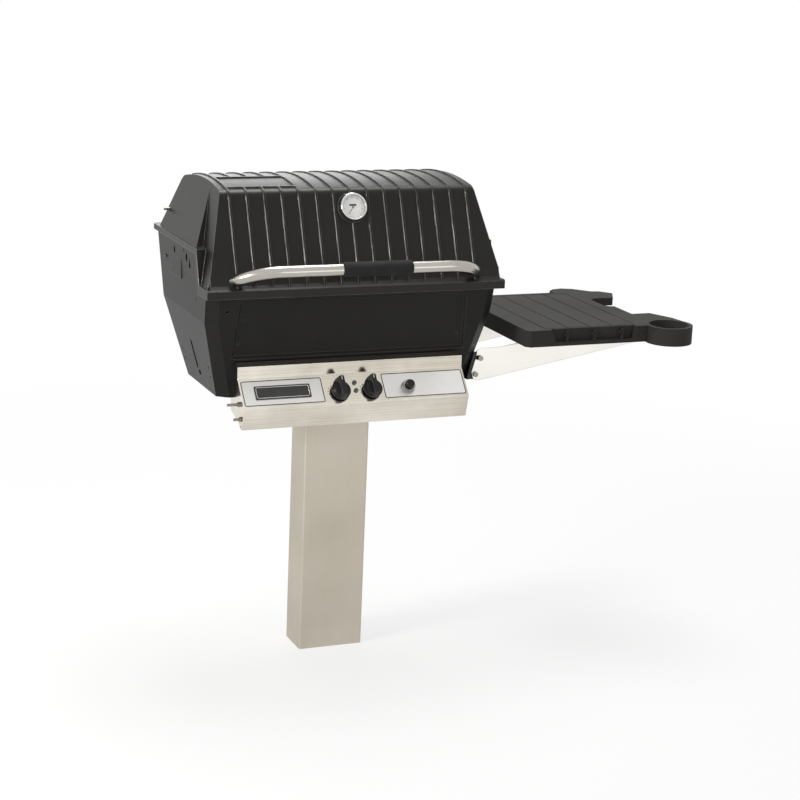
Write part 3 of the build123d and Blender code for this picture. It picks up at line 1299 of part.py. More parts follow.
def make_post():
    """Bent stainless box section, open at both ends, with a slot low in its back for the gas line."""
    outer = RectangleRounded(POST_WIDTH, POST_DEPTH, POST_CORNER)
    inner = RectangleRounded(POST_WIDTH - 2 * POST_WALL, POST_DEPTH - 2 * POST_WALL, POST_CORNER - POST_WALL)
    post = Pos(0, 0, POST_TOP) * extrude(outer - inner, amount=-POST_LENGTH)
    slot = Pos(0, POST_DEPTH / 2, -GAS_SLOT_BELOW) * Rot(90, 0, 0) * extrude(
        Rot(0, 0, 90) * SlotOverall(GAS_SLOT_LENGTH, GAS_SLOT_WIDTH), amount=3 * POST_WALL, both=True)
    post = post - slot
    for way in (-1, 1):
        hole = extrude(Circle(SADDLE_BOLT / 2 + BOLT_PLAY), amount=-4 * POST_WALL)
        post = post - cross_bolt_place(way) * hole
    return post


def cross_bolt_place(way):
    return Plane(origin=(way * POST_WIDTH / 2, 0, POST_TOP - CROSS_BOLT_BELOW), z_dir=(way, 0, 0))


def make_saddle():
    """Welded cradle: a sleeve in the post, a plate on its end and two cheeks that carry the firebox."""
    seat_z = RIM_Z + FLOOR
    width, depth = POST_WIDTH, POST_DEPTH
    plate = Pos(0, 0, POST_TOP + SADDLE_PLATE / 2) * Box(width, depth, SADDLE_PLATE)
    fit = 2 * (POST_WALL + BOLT_PLAY)
    sleeve = RectangleRounded(width - fit, depth - fit, POST_CORNER - POST_WALL)
    bore = RectangleRounded(width - fit - 2 * SADDLE_PLATE, depth - fit - 2 * SADDLE_PLATE, 2)
    saddle = plate + Pos(0, 0, POST_TOP) * extrude(sleeve - bore, amount=-SADDLE_SLEEVE)
    saddle = saddle - Pos(0, 0, POST_TOP) * extrude(Circle(depth * 0.3), amount=2 * SADDLE_PLATE, both=True)
    tall = seat_z - POST_TOP
    for way in (-1, 1):
        cheek_x = way * (width - SADDLE_PLATE) / 2
        saddle = saddle + Pos(cheek_x, 0, POST_TOP + tall / 2) * Box(SADDLE_PLATE, depth, tall)
        flange_x = way * (width + SADDLE_FLANGE) / 2
        flange = Box(SADDLE_FLANGE, depth, SADDLE_PLATE)
        saddle = saddle + Pos(flange_x, 0, seat_z - SADDLE_PLATE / 2) * flange
        saddle = saddle - cross_bolt_place(way) * extrude(Circle(SADDLE_BOLT / 2 + RUNNING), amount=-20)
    for x, place in saddle_bolt_places():
        saddle = saddle - bar_z(x, place, FLOOR - 2 * SADDLE_PLATE, FLOOR + 1, SADDLE_BOLT + 2 * BOLT_PLAY)
    return saddle


def make_saddle_bolt(x, depth):
    head = Plane(origin=(x, LIP_Y + depth, RIM_Z + FLOOR - SADDLE_PLATE), z_dir=(0, 0, -1))
    reach = SADDLE_PLATE + WALL
    nut = head * Pos(0, 0, -reach - 7) * extrude(RegularPolygon(0.85 * SADDLE_BOLT, 6), amount=7)
    return bolt(head, SADDLE_BOLT, reach + 9, 1.7 * SADDLE_BOLT, 6) + nut


def make_cross_bolt(way):
    length = POST_WALL + BOLT_PLAY + SADDLE_PLATE + 5
    return bolt(cross_bolt_place(way), SADDLE_BOLT, length, 1.7 * SADDLE_BOLT, 5)


# Write one file per piece

BLANK = lid_blank()
LID = make_lid(BLANK)
BOTH = (-1, 1)

nodes = {
    "in_ground_post": make_post(),
    "post_saddle": make_saddle(),
    "saddle_bolts": group([make_saddle_bolt(*place) for place in saddle_bolt_places()]),
    "post_cross_bolts": group([make_cross_bolt(way) for way in BOTH]),
    "firebox": make_firebox(),
    "briquette_grate": make_briquette_grate(),
    "ceramic_briquettes": make_briquettes(),
    "left_cooking_grid": make_cooking_grid(-1),
    "right_cooking_grid": make_cooking_grid(1),
    "burner": make_burner(),
    "left_venturi": make_venturi(-KNOB_X),
    "right_venturi": make_venturi(KNOB_X),
    "igniter_electrode": make_electrode(),
    "gas_manifold": make_manifold(),
    "gas_inlet_fitting": make_inlet(),
    "left_valve": make_valve(-KNOB_X),
    "right_valve": make_valve(KNOB_X),
    "gas_orifices": group([make_orifice(x) for x in (-KNOB_X, KNOB_X)]),
    "left_push_collar": make_collar(-KNOB_X),
    "right_push_collar": make_collar(KNOB_X),
    "left_valve_stem": make_stem(-KNOB_X),
    "right_valve_stem": make_stem(KNOB_X),
    "left_knob": make_knob(-KNOB_X),
    "right_knob": make_knob(KNOB_X),
    "control_console": make_console(),
    "console_left_end": make_console_end(-1),
    "console_right_end": make_console_end(1),
    "console_bolts": group([make_console_bolt(place) for place in console_bolt_places()]),
    "console_studs": group([make_stud(*place) for place in STUD_PLACES]),
    "face_screws": group([make_face_screw(down) for down in FACE_SCREWS]),
    "badge_plate": make_badge(),
    "igniter_collar": make_igniter_collar(),
    "igniter_button": make_igniter_button(),
    "igniter_barrel": make_igniter_barrel(),
    "lid": LID,
    "hinge_pins": group([make_hinge_pin(way) for way in BOTH]),
    "hinge_clips": group([make_hinge_clip(way) for way in BOTH]),
    "handle_tube": make_handle(BLANK, LID),
    "handle_grip": make_grip(),
    "handle_screws": group([make_handle_screw(way) for way in BOTH]),
    "thermometer_case": make_gauge_case(),
    "thermometer_dial": make_gauge_dial(),
    "thermometer_stem": make_gauge_stem(),
    "thermometer_needle": make_gauge_needle(),
    "thermometer_lens": make_gauge_lens(),
    "thermometer_nut": make_gauge_nut(),
    "rack_lid_pins": group([rack_lid_pin(way, RACK_PIN) for way in BOTH]),
    "rack_link_pins": group([make_rack_link_pin(way) for way in BOTH]),
    "rack_left_link": make_rack_link(-1),
    "rack_right_link": make_rack_link(1),
    "warming_rack": make_rack(),
    "shelf_top": make_shelf(),
    "shelf_front_arm": make_arm(ARM_DEPTHS[0], 1),
    "shelf_rear_arm": make_arm(ARM_DEPTHS[1], -1),
    "shelf_arm_screws": group([make_arm_screw(place) for place in arm_screw_places()]),
    "shelf_bracket": make_bracket(),
    "shelf_pivot_bolts": make_arm_bolts(PIVOT),
    "shelf_stop_bolts": make_arm_bolts(STOP),
    "bracket_bolts": group([make_bracket_bolt(place) for place in bracket_places(True)]),
}

os.makedirs("parts", exist_ok=True)
for name, shape in nodes.items():
    export_step(shape, f"parts/{name}.step")
print(len(nodes), "pieces written")
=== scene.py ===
# %% [markdown]
# # A gas grill on an in-ground post
# The solids of the grill come from its CAD frame: every casting, sheet and bolt is already in place, in
# metres, with Z up and the origin where the post enters the ground. This lesson gives those solids their
# finishes and adds the thin things that CAD leaves out, such as printed lines and a dial's scale. Loading
# the frame comes first, because everything else is measured from it.

# %% Load the frame
import math

import bmesh
import bpy
import numpy as np
from mathutils import Matrix, Vector


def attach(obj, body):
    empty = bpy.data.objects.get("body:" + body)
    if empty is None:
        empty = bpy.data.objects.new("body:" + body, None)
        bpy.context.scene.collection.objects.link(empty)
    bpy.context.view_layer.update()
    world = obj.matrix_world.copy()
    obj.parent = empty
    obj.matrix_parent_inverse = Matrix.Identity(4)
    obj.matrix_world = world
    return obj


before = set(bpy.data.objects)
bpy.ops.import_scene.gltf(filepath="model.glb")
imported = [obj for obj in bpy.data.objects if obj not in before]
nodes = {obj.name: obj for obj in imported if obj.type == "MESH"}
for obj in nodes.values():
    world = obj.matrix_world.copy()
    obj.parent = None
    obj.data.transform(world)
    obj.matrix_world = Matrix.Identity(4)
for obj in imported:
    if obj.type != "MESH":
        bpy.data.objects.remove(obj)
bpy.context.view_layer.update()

# %% [markdown]
# The grill was measured in a side view: depths back from the lid's front lip, heights above the underside
# of that lip. One helper turns such numbers, in millimetres, into points of the frame in metres.

# %% Points in the grill's own measures
LIP_Y, RIM_Z = -145.0, 845.0


def at(x, depth, height):
    """Point in metres from x, depth behind the lip and height above the rim, in millimetres."""
    x, depth, height = np.broadcast_arrays(x, depth, height)
    return np.stack([x, LIP_Y + depth, RIM_Z + height], axis=-1) / 1000.0


def unit(vector):
    """Vector divided by its length."""
    vector = np.asarray(vector, float)
    return vector / np.linalg.norm(vector)


print("lip", at(0, 0, 0))

# %% [markdown]
# Every new piece here is a surface worked out on a grid: a function of two parameters gives an array of
# points, and one helper turns the array into a mesh. The grid can close on itself in either direction,
# which makes tubes and rings, and double points at poles are merged so that the skin has no holes.

# %% Grid to mesh
SAME_POINT, SLIVER, SMOOTH_ANGLE = 1e-6, 1e-7, 35.0


def grid_faces(rows, columns, wrap_rows, wrap_columns):
    """Quads of a grid of points, joined across the seams where it wraps."""
    r = np.arange(rows if wrap_rows else rows - 1)
    c = np.arange(columns if wrap_columns else columns - 1)
    r, c = np.meshgrid(r, c, indexing="ij")
    r2, c2 = (r + 1) % rows, (c + 1) % columns
    corners = [r * columns + c, r * columns + c2, r2 * columns + c2, r2 * columns + c]
    return np.stack(corners, axis=-1).reshape(-1, 4)


def piece(name, grids, material, body):
    """Object from one or more (points, wrap_rows, wrap_columns) grids, riding on a body of the grill."""
    points, faces, start = [], [], 0
    for grid, wrap_rows, wrap_columns in grids:
        rows, columns = grid.shape[:2]
        points.append(grid.reshape(-1, 3))
        faces.append(grid_faces(rows, columns, wrap_rows, wrap_columns) + start)
        start += rows * columns
    mesh = bpy.data.meshes.new(name)
    mesh.from_pydata(np.concatenate(points).tolist(), [], np.concatenate(faces).tolist())
    work = bmesh.new()
    work.from_mesh(mesh)
    bmesh.ops.remove_doubles(work, verts=work.verts, dist=SAME_POINT)
    bmesh.ops.dissolve_degenerate(work, edges=work.edges, dist=SLIVER)
    bmesh.ops.recalc_face_normals(work, faces=work.faces)
    work.to_mesh(mesh)
    work.free()
    mesh.materials.append(material)
    mesh.shade_smooth()
    mesh.set_sharp_from_angle(angle=math.radians(SMOOTH_ANGLE))
    made = bpy.data.objects.new(name, mesh)
    bpy.context.scene.collection.objects.link(made)
    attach(made, body)


print("grid of 3 by 4 has", len(grid_faces(3, 4, False, True)), "faces when its columns wrap")

# %% [markdown]
# Finishes share a few effects. A cast or moulded surface has a fine grain, a rolled sheet has lines along
# the rolling direction, and edges carry painted light: a painted highlight on some finishes, a painted
# shade on others. Each effect could be copied into every material, but as a shader node group it is built
# once. A group puts out values which change over the surface; the shader itself stays in each material.
# Two helpers make the nodes: one for any node with values set on its inputs, one for an empty group.

# %% Helpers for shader nodes


def node_of(tree, kind, **values):
    """Node of a kind with values set on its inputs by name, an underscore standing for a space."""
    node = tree.nodes.new("ShaderNode" + kind)
    for label, value in values.items():
        node.inputs[label.replace("_", " ")].default_value = value
    return node


def new_group(name, inputs, outputs, vectors=("Vector",)):
    """Empty shader group with vector inputs, float inputs (name, default) and float outputs."""
    group = bpy.data.node_groups.new(name, "ShaderNodeTree")
    for label in vectors:
        group.interface.new_socket(label, in_out="INPUT", socket_type="NodeSocketVector")
    for label, default in inputs:
        socket = group.interface.new_socket(label, in_out="INPUT", socket_type="NodeSocketFloat")
        socket.default_value = default
    for label in outputs:
        group.interface.new_socket(label, in_out="OUTPUT", socket_type="NodeSocketFloat")
    source = group.nodes.new("NodeGroupInput")
    target = group.nodes.new("NodeGroupOutput")
    return group, source, target


print("groups so far", len(bpy.data.node_groups))

# %% [markdown]
# Cast metal and moulded resin feel like fine sand under a finger. An image could carry that, but noise
# has no seams and keeps its true size on every solid. One fine noise makes the bumps, and a slow one
# shifts the tone in blotches.

# %% Grain


def grain_group():
    """Fine grain: one noise for the bumps and a slow one for blotches of tone."""
    inputs = [("Scale", 900.0), ("Blotch", 9.0)]
    group, source, target = new_group("cast_grain", inputs, ["Grain", "Blotch"])
    fine = node_of(group, "TexNoise", Detail=3.0, Roughness=0.6)
    slow = node_of(group, "TexNoise", Detail=4.0, Roughness=0.55)
    link = group.links.new
    link(source.outputs["Vector"], fine.inputs["Vector"])
    link(source.outputs["Vector"], slow.inputs["Vector"])
    link(source.outputs["Scale"], fine.inputs["Scale"])
    link(source.outputs["Blotch"], slow.inputs["Scale"])
    link(fine.outputs["Fac"], target.inputs["Grain"])
    link(slow.outputs["Fac"], target.inputs["Blotch"])
    return group


GRAIN = grain_group()
print("group", GRAIN.name)

# %% [markdown]
# Rolled stainless sheet has lines along one direction. They are noise too, read at a place that was
# squeezed along the sheet, so that each spot of the noise becomes a streak. Slow clouds go with them,
# with a share of the streaks mixed in, because a real sheet is never one even grey.

# %% Brushed lines
STREAK_SHARE = 0.35


def brushed_group():
    """Lines: noise on a stretched vector. Clouds: slow noise at the true place, mixed with some lines."""
    inputs = [("Cloud", 6.0)]
    group, source, target = new_group("brushed_lines", inputs, ["Lines", "Cloud"], ("Vector", "Place"))
    lines = node_of(group, "TexNoise", Detail=4.0, Roughness=0.7, Scale=1.0)
    cloud = node_of(group, "TexNoise", Detail=3.0, Roughness=0.5)
    link = group.links.new
    link(source.outputs["Vector"], lines.inputs["Vector"])
    link(source.outputs["Place"], cloud.inputs["Vector"])
    link(source.outputs["Cloud"], cloud.inputs["Scale"])
    link(lines.outputs["Fac"], target.inputs["Lines"])
    streaks = node_of(group, "Mix", Factor=STREAK_SHARE)
    link(cloud.outputs["Fac"], streaks.inputs["A"])
    link(lines.outputs["Fac"], streaks.inputs["B"])
    link(streaks.outputs["Result"], target.inputs["Cloud"])
    return group


BRUSHED = brushed_group()
print("group", BRUSHED.name)

# %% [markdown]
# Along their edges the two coatings and the console's sheet get a painted highlight, a lighter colour
# with a share of metal, and the arms get a painted shade, a darker colour; each also has its own
# roughness there. The edges could be painted by hand, but the shader can find them: it compares the true
# normal with one that a small bevel has rounded. On a flat the two agree and their dot product is one; at
# an edge they part. Patches of noise break the painted line up.

# %% Painted edge light and shade
LEAN_START, LEAN_FULL = 0.985, 0.82
PATCH_LOW, PATCH_HIGH, PATCH_LEAST = 0.35, 0.6, 0.45


def edge_light_and_shade_group():
    """Painted edge light and shade: how far a rounded normal leans from the flat one, broken by noise."""
    vectors = ("Vector", "Rounded", "Flat")
    group, source, target = new_group("painted_edge_light_and_shade", [("Patch", 35.0)], ["Wear"], vectors)
    link = group.links.new
    lean = group.nodes.new("ShaderNodeVectorMath")
    lean.operation = "DOT_PRODUCT"
    link(source.outputs["Rounded"], lean.inputs[0])
    link(source.outputs["Flat"], lean.inputs[1])
    edge = node_of(group, "MapRange", From_Min=LEAN_START, From_Max=LEAN_FULL)
    link(lean.outputs["Value"], edge.inputs["Value"])
    patch = node_of(group, "TexNoise", Detail=3.0, Roughness=0.6)
    link(source.outputs["Vector"], patch.inputs["Vector"])
    link(source.outputs["Patch"], patch.inputs["Scale"])
    share = node_of(group, "MapRange", From_Min=PATCH_LOW, From_Max=PATCH_HIGH, To_Min=PATCH_LEAST)
    link(patch.outputs["Fac"], share.inputs["Value"])
    both = group.nodes.new("ShaderNodeMath")
    both.operation = "MULTIPLY"
    link(edge.outputs["Result"], both.inputs[0])
    link(share.outputs["Result"], both.inputs[1])
    link(both.outputs[0], target.inputs["Wear"])
    return group


EDGE_LIGHT_AND_SHADE = edge_light_and_shade_group()
print("group", EDGE_LIGHT_AND_SHADE.name)

# %% [markdown]
# A finish varies between two tones and between two levels of gloss. Noise keeps mostly to the middle of
# its scale, so only that middle part is stretched over each range; otherwise the ends would hardly be
# seen. A third helper mixes both towards the tone and gloss of the painted edge light and shade.

# %% Tones and gloss
NOISE_LOW, NOISE_HIGH = 0.3, 0.7


def ranged(tree, value, low, high):
    """Middle part of a noise, mapped to a range."""
    node = node_of(tree, "MapRange", From_Min=NOISE_LOW, From_Max=NOISE_HIGH, To_Min=low, To_Max=high)
    tree.links.new(value, node.inputs["Value"])
    return node.outputs["Result"]


def two_tone(tree, value, dark, light):
    """Colour between two tones by a value."""
    node = tree.nodes.new("ShaderNodeMix")
    node.data_type = "RGBA"
    node.inputs["A"].default_value = (*dark, 1)
    node.inputs["B"].default_value = (*light, 1)
    tree.links.new(ranged(tree, value, 0.0, 1.0), node.inputs["Factor"])
    return node.outputs["Result"]


def paint_edge_light_and_shade(tree, place, rounded, tone, gloss, edge_light_shade):
    """Tone and gloss mixed towards painted edge light and shade; gives them back with the share of metal."""
    colour, roughness, metal = edge_light_shade
    flat = tree.nodes.new("ShaderNodeNewGeometry")
    effect = tree.nodes.new("ShaderNodeGroup")
    effect.node_tree = EDGE_LIGHT_AND_SHADE
    for label, value in (("Vector", place), ("Rounded", rounded), ("Flat", flat.outputs["Normal"])):
        tree.links.new(value, effect.inputs[label])
    mask = effect.outputs["Wear"]
    mixed = tree.nodes.new("ShaderNodeMix")
    mixed.data_type = "RGBA"
    mixed.inputs["B"].default_value = (*colour, 1)
    tree.links.new(mask, mixed.inputs["Factor"])
    tree.links.new(tone, mixed.inputs["A"])
    smooth = node_of(tree, "MapRange", To_Max=roughness)
    tree.links.new(mask, smooth.inputs["Value"])
    tree.links.new(gloss, smooth.inputs["To Min"])
    share = tree.nodes.new("ShaderNodeMath")
    share.operation = "MULTIPLY"
    share.inputs[1].default_value = metal
    tree.links.new(mask, share.inputs[0])
    return mixed.outputs["Result"], smooth.outputs["Result"], share.outputs[0]


print("noise from", NOISE_LOW, "to", NOISE_HIGH, "is spread over each range")

# %% [markdown]
# A material is put together the same way each time: a group reads Object coordinates, its outputs are
# mapped to a range of colour and of roughness, and a bump goes to the shader's normal. A small bevel is
# worked out in the shader so that sharp CAD edges catch a thin line of light, as real cast and folded
# edges do.

# %% Material builder
BEVEL_SAMPLES = 6


def finish(name, group, dark, light, roughness, bump, stretch=None, bevel=0.0, edge_light_shade=None, values=(),
           **fixed):
    """Material from a group: tones by its second output, gloss and bump by its first.

    Bump is a strength and a depth. Where the painted edge light and shade gives a colour, a roughness and a
    share of metal, the edges are mixed towards them. Values go to the group's inputs and fixed ones to the
    shader's.
    """
    material = bpy.data.materials.new(name)
    material.use_nodes = True
    tree = material.node_tree
    shader = tree.nodes["Principled BSDF"]
    place = tree.nodes.new("ShaderNodeTexCoord").outputs["Object"]
    effect = tree.nodes.new("ShaderNodeGroup")
    effect.node_tree = group
    vector = place
    if stretch:
        mapping = node_of(tree, "Mapping", Scale=stretch)
        tree.links.new(place, mapping.inputs["Vector"])
        vector = mapping.outputs["Vector"]
    tree.links.new(vector, effect.inputs["Vector"])
    if "Place" in effect.inputs:
        tree.links.new(place, effect.inputs["Place"])
    for label, value in values:
        effect.inputs[label].default_value = value
    first, second = effect.outputs[0], effect.outputs[1]
    tone = two_tone(tree, second, dark, light)
    gloss = ranged(tree, first, *roughness)
    bumps = node_of(tree, "Bump", Strength=bump[0], Distance=bump[1])
    tree.links.new(first, bumps.inputs["Height"])
    if bevel:
        edge = node_of(tree, "Bevel", Radius=bevel)
        edge.samples = BEVEL_SAMPLES
        tree.links.new(edge.outputs["Normal"], bumps.inputs["Normal"])
    if edge_light_shade:
        tone, gloss, metal = paint_edge_light_and_shade(tree, place, edge.outputs["Normal"], tone, gloss, edge_light_shade)
        if "Metallic" not in fixed:
            tree.links.new(metal, shader.inputs["Metallic"])
    tree.links.new(tone, shader.inputs["Base Color"])
    tree.links.new(gloss, shader.inputs["Roughness"])
    tree.links.new(bumps.outputs["Normal"], shader.inputs["Normal"])
    for label, value in fixed.items():
        shader.inputs[label.replace("_", " ")].default_value = value
    return material


print("bevels are read with", BEVEL_SAMPLES, "samples")

# %% [markdown]
# The lid and the firebox are cast aluminium under a satin black coating: nearly black where they face
# away from the light, warm grey where light rakes over them. The coating is slightly rough, with a fine
# grain and faint clouds, so a broad soft gloss suits it better than a mirror-like coat.

# %% Castings, resin and rubber
WARM = (1.0, 0.975, 0.93, 1.0)
# Along the edges of both coatings a lighter, partly metallic colour is a painted highlight.
coating = finish("satin_black_lid", GRAIN, (0.0045, 0.0044, 0.0041), (0.0085, 0.0083, 0.0078),
                 (0.32, 0.42), (0.16, 0.0006), bevel=0.0016, edge_light_shade=((0.26, 0.255, 0.242), 0.17, 0.45),
                 values=[("Scale", 700.0), ("Blotch", 7.0)], Specular_IOR_Level=0.26, Specular_Tint=WARM)
box_coating = finish("satin_black_firebox", GRAIN, (0.0045, 0.0044, 0.0042), (0.008, 0.0079, 0.0075),
                     (0.36, 0.46), (0.2, 0.0007), bevel=0.0014, edge_light_shade=((0.16, 0.157, 0.15), 0.22, 0.3),
                     values=[("Scale", 620.0), ("Blotch", 7.0)], Specular_IOR_Level=0.2, Specular_Tint=WARM)
resin = finish("grained_resin", GRAIN, (0.019, 0.0185, 0.0173), (0.028, 0.0273, 0.0254), (0.66, 0.8),
               (0.25, 0.0007), bevel=0.0016, values=[("Scale", 520.0), ("Blotch", 11.0)],
               Specular_IOR_Level=0.2, Specular_Tint=WARM)
rubber = finish("foam_grip", GRAIN, (0.009, 0.009, 0.009), (0.016, 0.016, 0.0155), (0.68, 0.85),
                (0.45, 0.0008), values=[("Scale", 800.0), ("Blotch", 30.0)], Specular_IOR_Level=0.25)
knob_plastic = finish("knob_plastic", GRAIN, (0.006, 0.006, 0.006), (0.011, 0.011, 0.011), (0.3, 0.42),
                      (0.08, 0.0003), bevel=0.0008, values=[("Scale", 1100.0), ("Blotch", 25.0)],
                      Specular_IOR_Level=0.3)
# Black paint of the bracket; on the rack's link pins the same black is painted shade.
black_paint_and_pin_shade = finish("black_bracket_paint_and_pin_shade", GRAIN, (0.01, 0.01, 0.01), (0.018, 0.018, 0.018), (0.38, 0.5),
                     (0.1, 0.0004), bevel=0.0006, values=[("Scale", 900.0), ("Blotch", 14.0)])
fired_clay = finish("fired_clay", GRAIN, (0.5, 0.45, 0.38), (0.68, 0.63, 0.56), (0.8, 0.95),
                    (0.6, 0.0012), values=[("Scale", 260.0), ("Blotch", 22.0)])
print("finishes", len(bpy.data.materials))

# %% [markdown]
# Stainless sheet gets its look from the rolling lines: stretched noise along the length of the sheet. The
# post is brushed up and down, the console, the arms and the handle along X. The console's folds are
# glossier and carry a painted highlight, a near-white colour; the edges of the arms carry a painted shade,
# a darker colour.

# %% Stainless sheet and tube
post_steel = finish("post_stainless", BRUSHED, (0.44, 0.402, 0.33), (0.555, 0.512, 0.436), (0.4, 0.54),
                    (0.05, 0.0002), stretch=(520, 520, 5), bevel=0.001, values=[("Cloud", 5.0)],
                    Metallic=1.0)
# Along the console's folds a near-white colour is a painted highlight.
sheet_steel = finish("console_stainless", BRUSHED, (0.44, 0.394, 0.318), (0.82, 0.775, 0.695), (0.1, 0.2),
                     (0.05, 0.0002), stretch=(4, 420, 420), bevel=0.0012,
                     edge_light_shade=((0.97, 0.96, 0.93), 0.12, 1.0), values=[("Cloud", 6.0)], Metallic=1.0)
# Along the arms' edges a darker colour is a painted shade.
arm_steel = finish("arm_stainless", BRUSHED, (0.77, 0.745, 0.695), (0.89, 0.87, 0.83), (0.28, 0.4),
                   (0.05, 0.0002), stretch=(5, 620, 620), bevel=0.0018,
                   edge_light_shade=((0.3, 0.275, 0.225), 0.35, 1.0), values=[("Cloud", 5.0)], Metallic=1.0)
handle_steel = finish("handle_stainless", BRUSHED, (0.4, 0.378, 0.34), (0.5, 0.478, 0.44), (0.16, 0.26),
                      (0.04, 0.0001), stretch=(6, 700, 700), values=[("Cloud", 8.0)], Metallic=1.0)
print("finishes", len(bpy.data.materials))

# %% [markdown]
# Fasteners, rods and pipes and the turned and plated parts are metal as well. Each could have an effect
# of its own, but they are small, so the same group serves them with other lines, tones and gloss.

# %% Other metals
bolt_steel = finish("zinc_bolts", BRUSHED, (0.2, 0.19, 0.165), (0.34, 0.325, 0.29), (0.25, 0.42),
                    (0.05, 0.0002), stretch=(300, 300, 300), bevel=0.0004, values=[("Cloud", 40.0)],
                    Metallic=1.0)
screw_steel = finish("dark_screws", BRUSHED, (0.07, 0.068, 0.06), (0.16, 0.155, 0.14), (0.16, 0.3),
                     (0.05, 0.0002), stretch=(300, 300, 300), bevel=0.0005, values=[("Cloud", 90.0)],
                     Metallic=1.0)
rod_steel = finish("grid_rods", BRUSHED, (0.36, 0.35, 0.33), (0.5, 0.49, 0.47), (0.26, 0.4),
                   (0.05, 0.0002), stretch=(260, 260, 260), values=[("Cloud", 18.0)], Metallic=1.0)
burner_steel = finish("burner_stainless", BRUSHED, (0.4, 0.37, 0.33), (0.56, 0.54, 0.5), (0.32, 0.48),
                      (0.06, 0.0003), stretch=(30, 420, 420), bevel=0.001, values=[("Cloud", 9.0)],
                      Metallic=1.0)
brass = finish("valve_brass", BRUSHED, (0.5, 0.36, 0.13), (0.66, 0.5, 0.22), (0.25, 0.4),
               (0.05, 0.0002), stretch=(420, 420, 420), bevel=0.0005, values=[("Cloud", 25.0)], Metallic=1.0)
bronze = finish("needle_bronze", BRUSHED, (0.2, 0.125, 0.05), (0.3, 0.2, 0.09), (0.4, 0.55),
                (0.03, 0.0001), stretch=(420, 420, 420), values=[("Cloud", 60.0)], Metallic=0.5)
pipe_metal = finish("manifold_aluminium", BRUSHED, (0.55, 0.55, 0.55), (0.68, 0.68, 0.68), (0.34, 0.48),
                    (0.05, 0.0002), stretch=(6, 500, 500), bevel=0.0006, values=[("Cloud", 12.0)],
                    Metallic=1.0)
bright_plate = finish("bright_plating", BRUSHED, (0.56, 0.55, 0.53), (0.68, 0.675, 0.66), (0.1, 0.18),
                      (0.02, 0.0001), stretch=(200, 200, 200), bevel=0.0006, values=[("Cloud", 30.0)],
                      Metallic=1.0)
turned_chrome = finish("turned_chrome", BRUSHED, (0.22, 0.22, 0.215), (0.4, 0.4, 0.39), (0.14, 0.24),
                       (0.04, 0.0002), stretch=(900, 120, 120), bevel=0.0006, values=[("Cloud", 90.0)],
                       Metallic=1.0)
print("finishes", len(bpy.data.materials))

# %% [markdown]
# Printed lines, the dial's face and the blank badge are paint. Paint is never perfectly even, so it uses
# the same grain group with a very small bump. The dial's window is glass, which keeps plain values
# throughout.

# %% Paints and glass
ink = finish("printed_ink", GRAIN, (0.012, 0.012, 0.012), (0.022, 0.022, 0.021), (0.45, 0.6),
             (0.03, 0.0001), values=[("Scale", 1500.0), ("Blotch", 60.0)])
grey_ink = finish("grey_ink", GRAIN, (0.1, 0.1, 0.098), (0.16, 0.16, 0.156), (0.45, 0.6),
                  (0.03, 0.0001), values=[("Scale", 1500.0), ("Blotch", 60.0)])
dial_paint = finish("dial_paint", GRAIN, (0.8, 0.8, 0.78), (0.88, 0.88, 0.86), (0.45, 0.6),
                    (0.03, 0.0001), values=[("Scale", 1500.0), ("Blotch", 40.0)])
label_foil = finish("label_foil", GRAIN, (0.73, 0.72, 0.69), (0.79, 0.78, 0.75), (0.34, 0.46),
                    (0.02, 0.0001), values=[("Scale", 1300.0), ("Blotch", 12.0)], Metallic=1.0)
badge_paint = finish("badge_field", GRAIN, (0.02, 0.021, 0.019), (0.035, 0.037, 0.033), (0.3, 0.45),
                     (0.05, 0.0002), bevel=0.0004, values=[("Scale", 900.0), ("Blotch", 30.0)])
window = bpy.data.materials.new("dial_window")
window.use_nodes = True
glass = window.node_tree.nodes["Principled BSDF"]
glass.inputs["Base Color"].default_value = (1, 1, 1, 1)
glass.inputs["Roughness"].default_value = 0.02
glass.inputs["IOR"].default_value = 1.3
glass.inputs["Transmission Weight"].default_value = 1.0
print("finishes", len(bpy.data.materials))

# %% [markdown]
# Each solid of the frame then takes its finish by name. A table from finish to names shows at a glance
# what is made of what, and a solid that was forgotten is printed.

# %% Dress the solids
finishes = {
    coating: "lid",
    box_coating: "firebox",
    resin: "shelf_top",
    rubber: "handle_grip",
    knob_plastic: "left_knob right_knob igniter_button igniter_barrel",
    # The rack's link pins are black as painted shade; the bracket's black is its paint.
    black_paint_and_pin_shade: "shelf_bracket rack_link_pins",
    fired_clay: "ceramic_briquettes igniter_electrode",
    post_steel: "in_ground_post post_saddle",
    sheet_steel: "control_console console_left_end console_right_end",
    arm_steel: "shelf_front_arm shelf_rear_arm",
    handle_steel: "handle_tube",
    bolt_steel: "saddle_bolts post_cross_bolts console_bolts console_studs hinge_pins hinge_clips "
                "handle_screws shelf_arm_screws shelf_pivot_bolts shelf_stop_bolts bracket_bolts "
                "rack_lid_pins thermometer_nut",
    rod_steel: "left_cooking_grid right_cooking_grid briquette_grate warming_rack "
               "rack_left_link rack_right_link",
    burner_steel: "burner left_venturi right_venturi",
    brass: "left_valve right_valve gas_orifices gas_inlet_fitting left_valve_stem right_valve_stem",
    pipe_metal: "gas_manifold left_push_collar right_push_collar",
    bright_plate: "thermometer_case thermometer_stem",
    turned_chrome: "igniter_collar",
    screw_steel: "face_screws",
    bronze: "thermometer_needle",
    badge_paint: "badge_plate",
    dial_paint: "thermometer_dial",
    window: "thermometer_lens",
}
for material, names in finishes.items():
    for name in names.split():
        nodes[name].data.materials.clear()
        nodes[name].data.materials.append(material)
bare = sorted(set(nodes) - {name for names in finishes.values() for name in names.split()})
print("solids without a finish:", bare)

